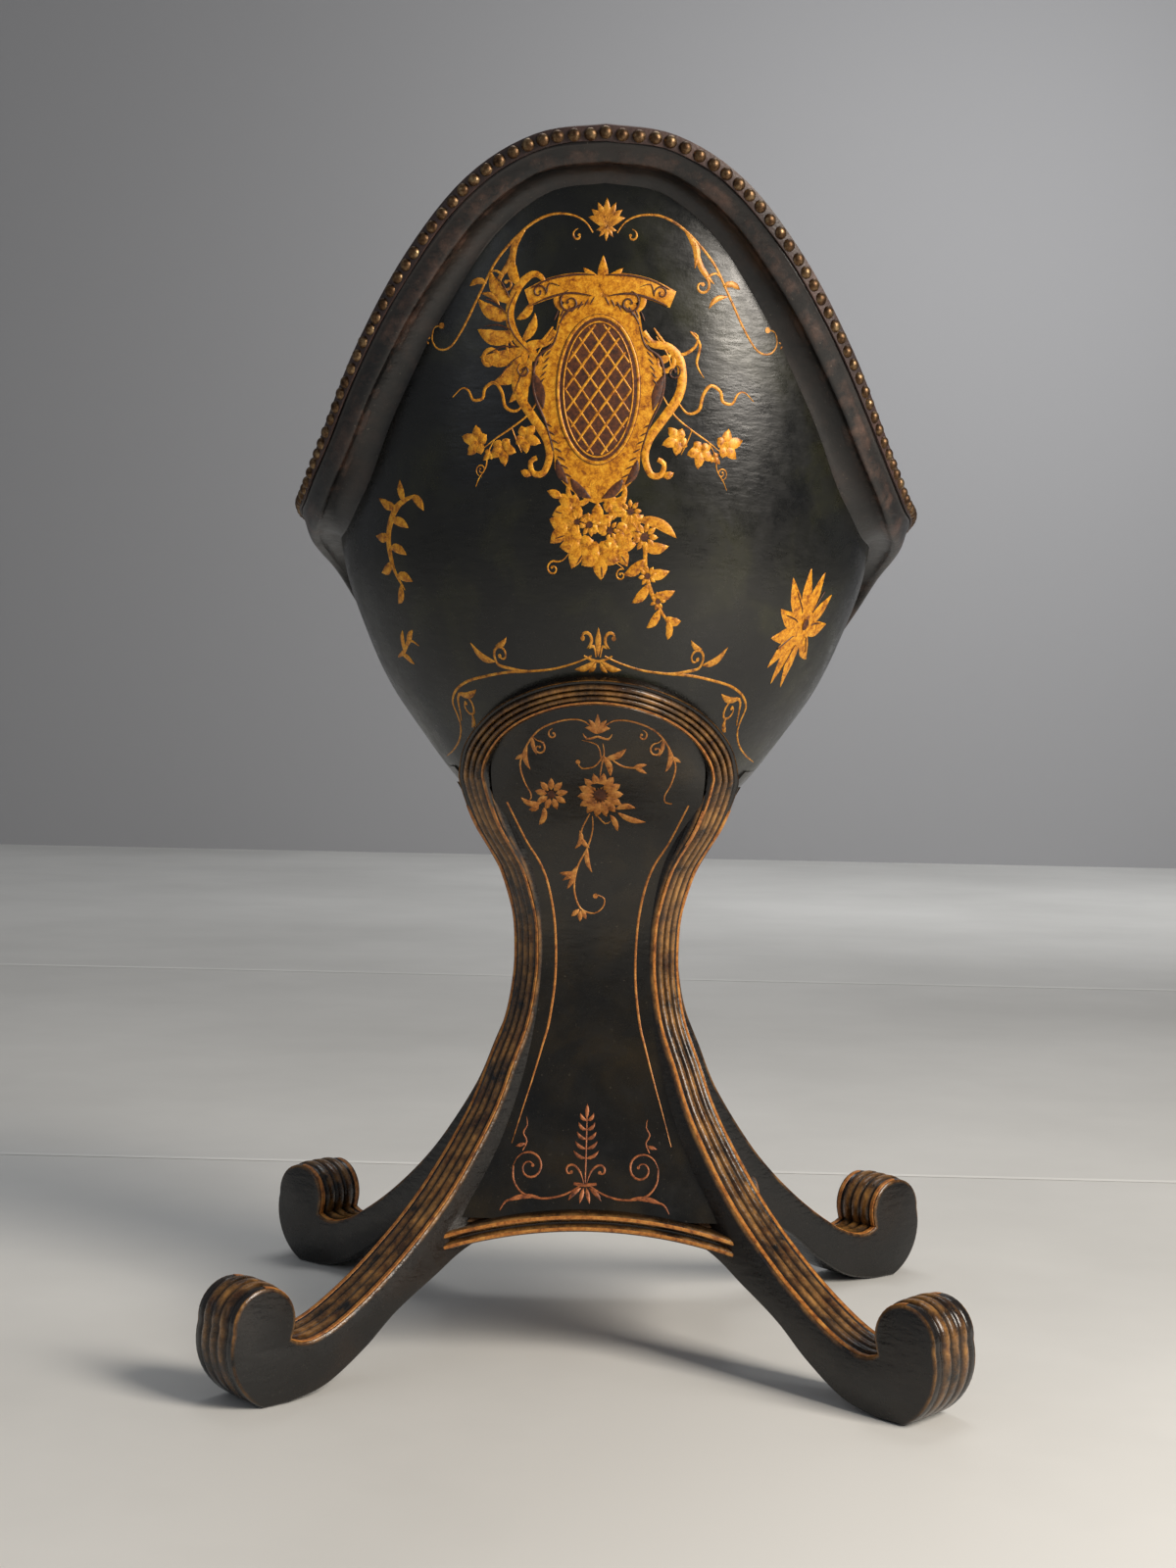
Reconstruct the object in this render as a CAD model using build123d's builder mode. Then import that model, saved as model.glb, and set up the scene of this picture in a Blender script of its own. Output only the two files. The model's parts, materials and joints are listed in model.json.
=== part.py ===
from build123d import *
import math
import os

# Gondola chair. Z is up and the sitter faces +Y, so the painted back faces -Y.
# The origin is on the floor under the middle of the chair. Sizes are in millimetres.
# Angles of the tub are measured round Z from the middle of the back towards +X.

# Tub: half sizes of its outside at a row of levels
tub_bottom = 432
tub_line_top = 960
tub_half_width = 226
tub_half_back = 216
tub_half_front = 240
level_shares = (0, 0.045, 0.119, 0.191, 0.271, 0.366, 0.508, 0.760, 1)
width_shares = (0.407, 0.522, 0.655, 0.770, 0.858, 0.936, 0.980, 0.993, 1)
back_shares = (0.417, 0.528, 0.676, 0.782, 0.866, 0.921, 0.963, 0.990, 1)
front_shares = (0.383, 0.529, 0.738, 0.863, 0.929, 0.971, 0.996, 1, 1)
wall = 17
foot_wall = 27
wall_taper_height = 120
floor_thickness = 18
stave_level_shares = (0, 0.04, 0.09, 0.15, 0.22, 0.30, 0.40, 0.52, 0.66, 0.82, 1)

# Top line of the tub, from the crest at the back to the lip at the front
crest_height = 926
lip_height = 512
rise_step = 12
station_step = 6
rise_shares = (
    1, 0.985, 0.920, 0.801, 0.656, 0.511, 0.426, 0.407,
    0.392, 0.356, 0.276, 0.169, 0.080, 0.024, 0.005, 0,
)
stave_spans = {
    "back_centre": (-36, 36),
    "back_right": (36, 72),
    "back_left": (-72, -36),
    "side_right": (72, 120),
    "side_left": (-120, -72),
    "front": (120, 240),
}

# Rim moulding, as outline points of its section at the back and along the arms
rim_overhang = 28
rim_depth = 44
rim_back_shares = ((1, 0), (1, 0.27), (0.96, 0.29), (0.77, 0.62), (0.67, 0.66), (0.59, 0.62))
rim_arm_shares = ((1, 0), (1, 0.27), (0.96, 0.29), (0.80, 0.66), (0.63, 0.81), (0.47, 0.78))
rim_back_foot_share = 1
rim_arm_foot_share = 0.73
cove_back_bow_shares = (0.075, 0.05)
cove_arm_bow_shares = (0, 0.07)
rim_change_start = 56
rim_change_end = 96

# Leather edge, nails and soft pieces
seat_gap = 0.3
roll_height = 6
leather = 1.6
leather_drop = 11
nail_diameter = 10
nail_height = 4
nail_pitch = 11.5
nail_drop = 5.5
lining_thickness = 14
lining_spans = {
    "back": (-72, 72),
    "right": (72, 120),
    "left": (-120, -72),
    "front": (120, 240),
}
cushion_thickness = 58
cushion_height_shares = (0, 0.06, 0.16, 0.34, 0.52, 0.66, 0.76, 0.86, 0.94, 1)
cushion_size_shares = (0.90, 0.97, 0.995, 0.955, 0.955, 0.985, 0.94, 0.84, 0.66, 0.40)

# Seat deck and its blocks
deck_thickness = 16
deck_clearance = 1
deck_block_height = 22
deck_block_width = 34
deck_block_depth = 24
deck_block_radius = 70

# Legs: outline of a plank from the tub down to its scroll foot
leg_top = 456
leg_reach = 357
back_leg_angle = 41
front_leg_angle = 40
front_leg_stretch = 9
leg_inner = 40
leg_edge_shares = (
    (0.375, 1), (0.328, 0.923), (0.263, 0.851), (0.223, 0.768), (0.214, 0.702),
    (0.218, 0.647), (0.238, 0.579), (0.280, 0.509), (0.339, 0.417), (0.457, 0.294),
    (0.591, 0.195), (0.723, 0.123), (0.805, 0.099), (0.849, 0.105),
)
scroll_crown_shares = (0.922, 0.198)
scroll_side_shares = (1, 0.130)
toe_shares = (0.985, 0.046)
floor_outer_shares = (0.920, 0)
floor_inner_shares = (0.855, 0)
leg_under_shares = (
    (0.765, 0.016), (0.669, 0.061), (0.588, 0.112), (0.487, 0.160), (0.406, 0.197),
    (0.290, 0.226),
)
leg_taper_shares = (0.224, 0.42, 0.67, 0.84, 1.06)
leg_half_thicknesses = (17, 21, 23, 25, 27.5)

# Pedestal between the legs
core_bottom = 112
face_level_shares = (0, 0.15, 0.34, 0.525, 0.71, 0.90, 1)
face_back_shares = (1, 0.780, 0.610, 0.525, 0.508, 0.602, 0.763)
face_side_shares = (1, 0.777, 0.608, 0.523, 0.508, 0.592, 0.715)
face_half_back = 118
face_half_side = 130
panel_thickness = 8
panel_edge_bite = 8
rod_diameter = 12
rod_clearance = 0.3
nut_across_flats = 22
nut_height = 10
washer_diameter = 40
washer_thickness = 3
dowel_diameter = 10
dowel_length = 40
dowel_inset = 18
dowel_heights = (180, 360)
screw_diameter = 6
screw_length = 52
screw_head_diameter = 14
screw_head_height = 5
screw_radius = 30
screw_count = 4

# Aprons between the feet
apron_crown = 124
apron_end_drop = 24
apron_height = 15
apron_thickness = 22
apron_proud = 7

# Reeded arches: a tall one from leg to leg on the back, a low one under the front
arch_spring_width = 90
arch_rise = 74
arch_half_width = 10.5
arch_spring_half_width = 17
arch_height = 10
arch_spring_height = 20
arch_path_shares = (
    (0.955, 0), (1, 0.19), (0.99, 0.39), (0.88, 0.60), (0.71, 0.77), (0.50, 0.89),
    (0.26, 0.97), (0, 1),
)
arch_growth_shares = (1, 0.5, 0.15, 0, 0, 0, 0, 0)
arch_section_shares = ((1, 0), (0.94, 0.55), (0.62, 0.94), (0.22, 1))
front_arch_width = 96
front_arch_level = 452
front_arch_rise = 11
front_arch_shares = ((1, 0), (0.78, 0.45), (0.52, 0.78), (0.26, 0.95), (0, 1))


def smooth_value(knots, values, at):
    # A smooth curve through the values, kept level past either end.
    if at <= knots[0]:
        return values[0]
    if at >= knots[-1]:
        return values[-1]
    right = next(k for k in range(1, len(knots)) if at <= knots[k])
    left = right - 1

    def slope(k):
        before = max(k - 1, 0)
        after = min(k + 1, len(knots) - 1)
        return (values[after] - values[before]) / (knots[after] - knots[before])

    span = knots[right] - knots[left]
    t = (at - knots[left]) / span
    return (
        values[left] * (2 * t**3 - 3 * t**2 + 1)
        + slope(left) * span * (t**3 - 2 * t**2 + t)
        + values[right] * (3 * t**2 - 2 * t**3)
        + slope(right) * span * (t**3 - t**2)
    )


def half_sizes(height):
    # Outside half width, half depth of the back and half depth of the front.
    share = (height - tub_bottom) / (tub_line_top - tub_bottom)
    return (
        tub_half_width * smooth_value(level_shares, width_shares, share),
        tub_half_back * smooth_value(level_shares, back_shares, share),
        tub_half_front * smooth_value(level_shares, front_shares, share),
    )


def reach(angle, height):
    # Distance from the Z axis to the outside of the tub.
    half_width, half_back, half_front = half_sizes(height)
    across = math.sin(math.radians(angle))
    along = math.cos(math.radians(angle))
    half_depth = half_back if along > 0 else half_front
    return 1 / math.hypot(across / half_width, along / half_depth)


def top_height(angle):
    turn = abs((angle + 180) % 360 - 180)
    turns = [rise_step * k for k in range(len(rise_shares))]
    return lip_height + (crest_height - lip_height) * smooth_value(turns, rise_shares, turn)


def wall_at(height):
    # The wall is thicker where it turns in towards the floor.
    share = min(max((height - tub_bottom) / wall_taper_height, 0), 1)
    return foot_wall + (wall - foot_wall) * share


def steepness(angle):
    # How much a section cut upright through the sloping rim is drawn out in height.
    step = rise_step / 4
    climb = top_height(angle + step) - top_height(angle - step)
    run = reach(angle, top_height(angle)) * math.radians(2 * step)
    return math.hypot(1, climb / run)


def radial_plane(angle):
    across = math.sin(math.radians(angle))
    along = math.cos(math.radians(angle))
    return Plane(origin=(0, 0, 0), x_dir=(across, -along, 0), z_dir=(-along, -across, 0))


def stations(span):
    start, end = span
    count = round((end - start) / station_step)
    return [start + station_step * k for k in range(count + 1)]


# Each tub section lies in an upright plane through the Z axis, so that neighbours
# meet face to face in the plane that they share.
floor_top = tub_bottom + floor_thickness
deck_top = floor_top + deck_block_height + deck_thickness
parts = {}


def band_section(angle, low, outer_line, inner_line):
    # An upright section between two lines of the tub, from one level to its top line.
    rise = top_height(angle) - low
    heights = [low + rise * share for share in stave_level_shares]
    outer = [(outer_line(angle, height), height) for height in heights]
    inner = [(inner_line(angle, height), height) for height in heights]
    with BuildSketch(radial_plane(angle)) as section:
        with BuildLine():
            Spline(*outer)
            Line(outer[-1], inner[-1])
            Spline(*inner[::-1])
            Line(inner[0], outer[0])
        make_face()
    return section.sketch


def inside_wall(angle, height):
    return reach(angle, height) - wall_at(height)


def lining_face(angle, height):
    return inside_wall(angle, height) - 2 * seat_gap


def lining_room(angle, height):
    return lining_face(angle, height) - lining_thickness


def make_staves():
    for place, span in stave_spans.items():
        with BuildPart() as stave:
            for angle in stations(span):
                add(band_section(angle, floor_top, reach, inside_wall))
            loft()
        parts["tub_stave_" + place] = stave.part


def make_linings():
    for place, span in lining_spans.items():
        with BuildPart() as lining:
            for angle in stations(span):
                add(band_section(angle, deck_top, lining_face, lining_room))
            loft()
        parts["lining_" + place] = lining.part


def rim_outline(angle):
    # Outline points of the rim's section, then the foot of its cove.
    turn = abs((angle + 180) % 360 - 180)
    share = min(max((turn - rim_change_start) / (rim_change_end - rim_change_start), 0), 1)
    blend = share * share * (3 - 2 * share)
    top = top_height(angle)
    root = reach(angle, top)
    drop = rim_depth * steepness(angle)

    def mix(back, arm):
        return back + (arm - back) * blend

    points = [
        (root + rim_overhang * mix(back[0], arm[0]), top - drop * mix(back[1], arm[1]))
        for back, arm in zip(rim_back_shares, rim_arm_shares)
    ]
    foot_height = top - drop * mix(rim_back_foot_share, rim_arm_foot_share)
    foot = (reach(angle, foot_height) + seat_gap, foot_height)
    bow = (
        rim_overhang * mix(cove_back_bow_shares[0], cove_arm_bow_shares[0]),
        drop * mix(cove_back_bow_shares[1], cove_arm_bow_shares[1]),
    )
    hollow = (
        (points[-1][0] + foot[0]) / 2 - bow[0],
        (points[-1][1] + foot[1]) / 2 + bow[1],
    )
    return points, hollow, foot


def make_rims():
    for place, span in stave_spans.items():
        with BuildPart() as rim:
            for angle in stations(span):
                points, hollow, foot = rim_outline(angle)
                top = top_height(angle)
                middle = (top + foot[1]) / 2
                start = (reach(angle, top) + seat_gap, top)
                with BuildSketch(radial_plane(angle)):
                    with BuildLine():
                        Polyline(start, *points)
                        ThreePointArc(points[-1], hollow, foot)
                        Spline(foot, (reach(angle, middle) + seat_gap, middle), start)
                    make_face()
            loft()
        parts["rim_" + place] = rim.part


def make_leather_edges():
    for place, span in lining_spans.items():
        with BuildPart() as edge:
            for angle in stations(span):
                top = top_height(angle) + seat_gap
                inner = lining_room(angle, top)
                outer = reach(angle, top) + rim_overhang + seat_gap
                low = top - leather_drop * steepness(angle)
                with BuildSketch(radial_plane(angle)):
                    with BuildLine():
                        Line((inner, top), (outer, top))
                        Polyline((outer, top), (outer, low), (outer + leather, low))
                        Line((outer + leather, low), (outer + leather, top))
                        ThreePointArc(
                            (outer + leather, top),
                            ((inner + outer) / 2, top + roll_height),
                            (inner, top),
                        )
                    make_face()
            loft()
        parts["leather_edge_" + place] = edge.part


def nail_place(angle):
    top = top_height(angle)
    distance = reach(angle, top) + rim_overhang + 2 * seat_gap + leather
    across = math.sin(math.radians(angle))
    along = math.cos(math.radians(angle))
    return Vector(distance * across, -distance * along, top - nail_drop * steepness(angle))


def nail_angles():
    # Angles that space the nails evenly along the sloping rim.
    fine = [k / 4 for k in range(4 * 360 + 1)]
    lengths = [0]
    for before, after in zip(fine, fine[1:]):
        lengths.append(lengths[-1] + (nail_place(after) - nail_place(before)).length)
    count = round(lengths[-1] / nail_pitch)
    angles = []
    for k in range(count):
        target = lengths[-1] * k / count
        angles.append(next(a for a, length in zip(fine, lengths) if length >= target))
    return angles


def make_nails():
    # Each head is the cap of a ball, flat where it lies on the leather.
    ball = ((nail_diameter / 2) ** 2 + nail_height**2) / (2 * nail_height)
    with BuildPart() as dome:
        with Locations((0, 0, nail_height - ball)):
            Sphere(ball)
        split(bisect_by=Plane.XY, keep=Keep.TOP)
    nails = []
    for angle in nail_angles():
        seat = Plane(origin=nail_place(angle), z_dir=radial_plane(angle).x_dir)
        nails.append(dome.part.solid().moved(seat.location))
    parts["nails"] = Compound(nails)


def plan_section(height, half_width, half_back, half_front):
    with BuildSketch(Plane.XY.offset(height)) as section:
        with BuildLine():
            EllipticalCenterArc((0, 0), half_width, half_back, start_angle=180, arc_size=180)
            EllipticalCenterArc((0, 0), half_width, half_front, start_angle=0, arc_size=180)
        make_face()
    return section.sketch


def make_floor_and_deck():
    with BuildPart() as tub_floor:
        for height in (tub_bottom, tub_bottom + floor_thickness / 2, floor_top):
            add(plan_section(height, *half_sizes(height)))
        loft()
        with Locations((0, 0, floor_top)):
            Hole(rod_diameter / 2 + rod_clearance)
            with PolarLocations(screw_radius, screw_count):
                Hole(screw_diameter / 2 + rod_clearance)
    parts["tub_floor"] = tub_floor.part

    deck_low = floor_top + deck_block_height
    shrink = wall_at(deck_low) + deck_clearance
    with BuildPart() as seat_deck:
        add(plan_section(deck_low, *[size - shrink for size in half_sizes(deck_low)]))
        extrude(amount=deck_thickness)
    parts["seat_deck"] = seat_deck.part

    with BuildPart() as deck_blocks:
        with BuildSketch(Plane.XY.offset(floor_top)):
            with PolarLocations(deck_block_radius, screw_count):
                Rectangle(deck_block_depth, deck_block_width)
        extrude(amount=deck_block_height)
    parts["deck_blocks"] = deck_blocks.part


def make_cushion():
    # A squab with a crowned top, drawn in round the middle of its side.
    base = deck_top + seat_gap
    front_room = lining_room(180, lip_height)
    with BuildPart() as cushion:
        for height_share, size_share in zip(cushion_height_shares, cushion_size_shares):
            height = base + cushion_thickness * height_share
            rooms = (
                lining_room(90, height),
                lining_room(0, height),
                min(lining_room(180, height), front_room),
            )
            add(plan_section(height, *[(room - 2 * seat_gap) * size_share for room in rooms]))
        loft(ruled=True)
    parts["seat_cushion"] = cushion.part


def leg_directions():
    # Name, direction from +X in degrees, angle round the tub and stretch of each leg.
    back = back_leg_angle
    front = front_leg_angle
    return {
        "back_right": (-back, 90 - back, 0),
        "back_left": (180 + back, back - 90, 0),
        "front_right": (front, 90 + front, front_leg_stretch),
        "front_left": (180 - front, -90 - front, front_leg_stretch),
    }


def leg_point(shares, stretch):
    # The stretch moves a point out by more the nearer it is to the foot.
    out, up = shares
    knee = leg_taper_shares[0]
    share = max((out - knee) / (floor_outer_shares[0] - knee), 0)
    return (leg_reach * out + stretch * share, leg_top * up)


def make_leg(place, direction, tub_angle, stretch):
    heading = math.radians(direction)
    upright = Plane(
        origin=(0, 0, 0),
        x_dir=(math.cos(heading), math.sin(heading), 0),
        z_dir=(math.sin(heading), -math.cos(heading), 0),
    )

    def at(shares):
        return leg_point(shares, stretch)

    edge = [at(shares) for shares in leg_edge_shares]
    under = [at(floor_inner_shares)] + [at(shares) for shares in leg_under_shares]
    rise = leg_top - tub_bottom
    cheek = [
        (reach(tub_angle, tub_bottom + rise * share) + 3 * seat_gap, tub_bottom + rise * share)
        for share in (1, 0.5, 0)
    ]
    with BuildPart() as leg:
        with BuildSketch(upright):
            with BuildLine():
                Spline(*edge)
                ThreePointArc(edge[-1], at(scroll_crown_shares), at(scroll_side_shares))
                ThreePointArc(at(scroll_side_shares), at(toe_shares), at(floor_outer_shares))
                Line(at(floor_outer_shares), under[0])
                Spline(*under)
                Line(under[-1], (leg_inner, under[-1][1]))
                Line((leg_inner, under[-1][1]), (leg_inner, tub_bottom))
                Line((leg_inner, tub_bottom), cheek[2])
                Spline(*cheek[::-1])
                Line(cheek[0], edge[0])
            make_face()
        extrude(amount=2 * leg_half_thicknesses[-1], both=True)
        outline = [
            (leg_reach * share, half) for share, half in zip(leg_taper_shares, leg_half_thicknesses)
        ]
        outline = [(0, leg_half_thicknesses[0])] + outline
        mirrored = [(out, -half) for out, half in outline[::-1]]
        turned = Plane(origin=(0, 0, 0), x_dir=upright.x_dir, z_dir=(0, 0, 1))
        with BuildSketch(turned):
            with BuildLine():
                Polyline(*outline, *mirrored, close=True)
            make_face()
        extrude(amount=leg_top, mode=Mode.INTERSECT)
        with Locations(*dowel_places(direction)):
            Hole(dowel_diameter / 2, depth=2 * dowel_length)
    parts["leg_" + place] = leg.part


def dowel_places(direction):
    # Each dowel starts in the core and points outwards along its leg.
    heading = math.radians(direction)
    start = leg_inner - dowel_inset
    outward = (math.cos(heading), math.sin(heading), 0)
    return [
        Plane(origin=(start * outward[0], start * outward[1], height), z_dir=outward).location
        for height in dowel_heights
    ]


def face_size(level_share, shares, half_size):
    return half_size * smooth_value(face_level_shares, shares, level_share)


def make_pedestal():
    rise = tub_bottom - core_bottom
    levels = [core_bottom + rise * share for share in face_level_shares]
    backs = [face_half_back * share for share in face_back_shares]
    sides = [face_half_side * share for share in face_side_shares]
    lean = math.tan(math.radians(back_leg_angle))
    legs = [parts["leg_" + place] for place in leg_directions()]
    aprons = [parts["apron_" + place] for place in ("back", "front", "left", "right")]
    for place, sign in (("back", -1), ("front", 1)):
        with BuildPart() as panel:
            for level, back in zip(levels, backs):
                half_width = back / lean - panel_edge_bite
                with BuildSketch(Plane.XY.offset(level)):
                    with Locations((0, sign * (back - panel_thickness / 2))):
                        Rectangle(2 * half_width, panel_thickness)
            loft()
            add(legs + aprons, mode=Mode.SUBTRACT)
        parts["panel_" + place] = largest_solid(panel.part)
    for place, sign in (("left", -1), ("right", 1)):
        with BuildPart() as panel:
            for level, side in zip(levels, sides):
                half_width = side * lean - panel_edge_bite
                with BuildSketch(Plane.XY.offset(level)):
                    with Locations((sign * (side - panel_thickness / 2), 0)):
                        Rectangle(panel_thickness, 2 * half_width)
            loft()
            add(legs + aprons, mode=Mode.SUBTRACT)
        parts["panel_" + place] = largest_solid(panel.part)
    with BuildPart() as core:
        for level, back, side in zip(levels, backs, sides):
            with BuildSketch(Plane.XY.offset(level)):
                Rectangle(2 * (side - panel_thickness), 2 * (back - panel_thickness))
        loft()
        add(legs + aprons, mode=Mode.SUBTRACT)
        with Locations((0, 0, tub_bottom)):
            Hole(rod_diameter / 2 + rod_clearance)
            with PolarLocations(screw_radius, screw_count):
                Hole(screw_diameter / 2, depth=screw_length - floor_thickness)
        for direction, _, _ in leg_directions().values():
            with Locations(*dowel_places(direction)):
                Hole(dowel_diameter / 2, depth=2 * dowel_length)
    parts["pedestal_core"] = largest_solid(core.part)


def largest_solid(shape):
    return shape.solids().sort_by(SortBy.VOLUME)[-1]


def make_aprons():
    legs = [parts["leg_" + place] for place in leg_directions()]
    places = {
        "back": (Plane.XZ, face_half_back, face_half_side),
        "front": (Plane.XZ.offset(0).rotated((0, 0, 180)), face_half_back, face_half_side),
        "right": (Plane.YZ, face_half_side, face_half_back),
        "left": (Plane.YZ.rotated((0, 0, 180)), face_half_side, face_half_back),
    }
    for place, (face, distance, half_span) in places.items():
        outer = distance + apron_proud
        ends = apron_crown - apron_end_drop
        with BuildPart() as apron:
            with BuildSketch(face.offset(outer - apron_thickness)):
                with BuildLine():
                    ThreePointArc((-half_span, ends), (0, apron_crown), (half_span, ends))
                    Line((half_span, ends), (half_span, ends - apron_height))
                    ThreePointArc(
                        (half_span, ends - apron_height),
                        (0, apron_crown - apron_height),
                        (-half_span, ends - apron_height),
                    )
                    Line((-half_span, ends - apron_height), (-half_span, ends))
                make_face()
            extrude(amount=apron_thickness)
            add(legs, mode=Mode.SUBTRACT)
        parts["apron_" + place] = largest_solid(apron.part)


def tub_face_point(side, across, height):
    # A point on the outside of the tub, seen square on from its back or its front.
    half_width, half_back, half_front = half_sizes(height)
    depth = -half_back if side == "back" else half_front
    return Vector(across, depth * math.sqrt(1 - (across / half_width) ** 2), height)


def tub_normal(side, across, height):
    step = seat_gap
    sideways = tub_face_point(side, across + step, height) - tub_face_point(side, across - step, height)
    upwards = tub_face_point(side, across, height + step) - tub_face_point(side, across, height - step)
    normal = sideways.cross(upwards).normalized()
    middle = tub_face_point(side, across, height)
    return normal if normal.dot(Vector(middle.X, middle.Y, 0)) > 0 else normal * -1


def arch_sections(side, half_span, level, rise, path_shares, growth_shares):
    # Planes and growth of the sections along the whole arch, end to end.
    left = [(-across, up) for across, up in path_shares]
    route = left + [(across, up) for across, up in path_shares[-2::-1]]
    growths = list(growth_shares) + list(growth_shares[-2::-1])
    places = [(half_span * across, level + rise * up) for across, up in route]
    points = [tub_face_point(side, across, height) for across, height in places]
    sections = []
    for k, (across, height) in enumerate(places):
        along = (points[min(k + 1, len(points) - 1)] - points[max(k - 1, 0)]).normalized()
        normal = tub_normal(side, across, height)
        growth = growths[k]
        if growth > 0:
            level_out = Vector(normal.X, normal.Y, 0).normalized()
            normal = (normal * (1 - growth) + level_out * growth).normalized()
            upward = Vector(0, 0, 1 if k < len(points) / 2 else -1)
            along = (along * (1 - growth) + upward * growth).normalized()
        sideways = along.cross(normal).normalized()
        outward = sideways.cross(along).normalized()
        origin = points[k] + outward * seat_gap
        sections.append((Plane(origin=origin, x_dir=sideways, z_dir=sideways.cross(outward)), growth))
    return sections


def make_arch(side, half_span, level, rise, path_shares, growth_shares):
    with BuildPart() as arch:
        for plane, growth in arch_sections(side, half_span, level, rise, path_shares, growth_shares):
            half_width = arch_half_width + (arch_spring_half_width - arch_half_width) * growth
            height = arch_height + (arch_spring_height - arch_height) * growth
            right = [(half_width * out, height * up) for out, up in arch_section_shares]
            left = [(-out, up) for out, up in right[::-1]]
            with BuildSketch(plane):
                with BuildLine():
                    Polyline(*right, *left, close=True)
                make_face()
        loft()
        for direction, _, _ in leg_directions().values():
            trim_to_side(side, direction)
        add([parts["leg_" + place] for place in leg_directions()], mode=Mode.SUBTRACT)
    parts["arch_" + side] = largest_solid(arch.part)


def trim_to_side(side, direction):
    # An arch ends on the upright plane through the leg that carries it.
    facing_y = -1 if side == "back" else 1
    heading = math.radians(direction)
    outward = (math.cos(heading), math.sin(heading))
    if outward[1] * facing_y <= 0:
        return
    square = (-outward[1], outward[0], 0)
    sign = 1 if square[1] * facing_y > 0 else -1
    normal = (sign * square[0], sign * square[1], 0)
    gap = seat_gap / 2
    origin = (normal[0] * gap, normal[1] * gap, 0)
    split(bisect_by=Plane(origin=origin, z_dir=normal), keep=Keep.TOP)


def make_fittings():
    with BuildPart() as tie_rod:
        with BuildSketch(Plane.XY.offset(core_bottom - washer_thickness - nut_height)):
            Circle(rod_diameter / 2)
        rod_top = floor_top + washer_thickness
        extrude(amount=rod_top - core_bottom + washer_thickness + nut_height)
        with BuildSketch(Plane.XY.offset(rod_top)):
            RegularPolygon(nut_across_flats / 2, 6, major_radius=False)
        extrude(amount=nut_height)
    parts["tie_rod"] = tie_rod.part
    with BuildPart() as rod_nut:
        with BuildSketch(Plane.XY.offset(core_bottom - washer_thickness - nut_height)):
            RegularPolygon(nut_across_flats / 2, 6, major_radius=False)
            Circle(rod_diameter / 2, mode=Mode.SUBTRACT)
        extrude(amount=nut_height)
    parts["rod_nut"] = rod_nut.part
    with BuildPart() as rod_washers:
        for height in (core_bottom - washer_thickness, floor_top):
            with BuildSketch(Plane.XY.offset(height)):
                Circle(washer_diameter / 2)
                Circle(rod_diameter / 2 + rod_clearance, mode=Mode.SUBTRACT)
            extrude(amount=washer_thickness)
    parts["rod_washers"] = rod_washers.part
    with BuildPart() as tub_screws:
        with BuildSketch(Plane.XY.offset(floor_top)):
            with PolarLocations(screw_radius, screw_count):
                Circle(screw_diameter / 2)
        extrude(amount=floor_thickness - screw_length)
        with BuildSketch(Plane.XY.offset(floor_top)):
            with PolarLocations(screw_radius, screw_count):
                Circle(screw_head_diameter / 2)
        extrude(amount=screw_head_height)
    parts["tub_screws"] = tub_screws.part
    with BuildPart() as leg_dowels:
        for direction, _, _ in leg_directions().values():
            with Locations(*dowel_places(direction)):
                Cylinder(
                    dowel_diameter / 2,
                    dowel_length,
                    align=(Align.CENTER, Align.CENTER, Align.MIN),
                )
    parts["leg_dowels"] = leg_dowels.part


make_staves()
make_rims()
make_linings()
make_leather_edges()
make_nails()
make_floor_and_deck()
make_cushion()
for leg_name, leg_facts in leg_directions().items():
    make_leg(leg_name, *leg_facts)
make_aprons()
make_pedestal()
make_arch("back", arch_spring_width, leg_top, arch_rise, arch_path_shares, arch_growth_shares)
front_growth = [0] * len(front_arch_shares)
make_arch("front", front_arch_width, front_arch_level, front_arch_rise, front_arch_shares, front_growth)
make_fittings()

os.makedirs("parts", exist_ok=True)
for name, part in parts.items():
    part.label = name
    export_step(part, "parts/" + name + ".step")
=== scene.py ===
import bpy
import bmesh
import json
import math
import random
from mathutils import Matrix, Vector

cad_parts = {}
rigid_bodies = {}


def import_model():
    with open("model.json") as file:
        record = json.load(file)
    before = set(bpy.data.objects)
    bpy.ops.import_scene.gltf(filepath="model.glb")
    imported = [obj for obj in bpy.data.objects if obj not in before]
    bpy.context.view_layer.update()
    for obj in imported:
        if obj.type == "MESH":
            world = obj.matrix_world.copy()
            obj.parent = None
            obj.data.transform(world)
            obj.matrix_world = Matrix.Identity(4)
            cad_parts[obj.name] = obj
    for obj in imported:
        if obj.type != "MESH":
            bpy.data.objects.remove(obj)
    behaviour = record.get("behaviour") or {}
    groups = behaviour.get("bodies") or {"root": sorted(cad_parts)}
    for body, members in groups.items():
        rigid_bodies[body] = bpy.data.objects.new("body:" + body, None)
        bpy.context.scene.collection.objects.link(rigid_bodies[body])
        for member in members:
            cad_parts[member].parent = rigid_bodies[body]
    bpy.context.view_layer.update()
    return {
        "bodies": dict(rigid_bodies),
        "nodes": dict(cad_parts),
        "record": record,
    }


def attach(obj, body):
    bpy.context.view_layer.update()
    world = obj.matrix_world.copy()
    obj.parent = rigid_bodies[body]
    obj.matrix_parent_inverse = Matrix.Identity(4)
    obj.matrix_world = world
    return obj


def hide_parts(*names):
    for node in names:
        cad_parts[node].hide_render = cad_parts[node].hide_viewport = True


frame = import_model()
rootBody = next(iter(frame["bodies"]))
random.seed(11)
mm = 0.001  # the sizes below are in millimetres, as the chair was measured
ringParts = ("back_centre", "back_left", "back_right", "side_left", "side_right", "front")
sides = ("back", "front", "left", "right")


# Small tools

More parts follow.
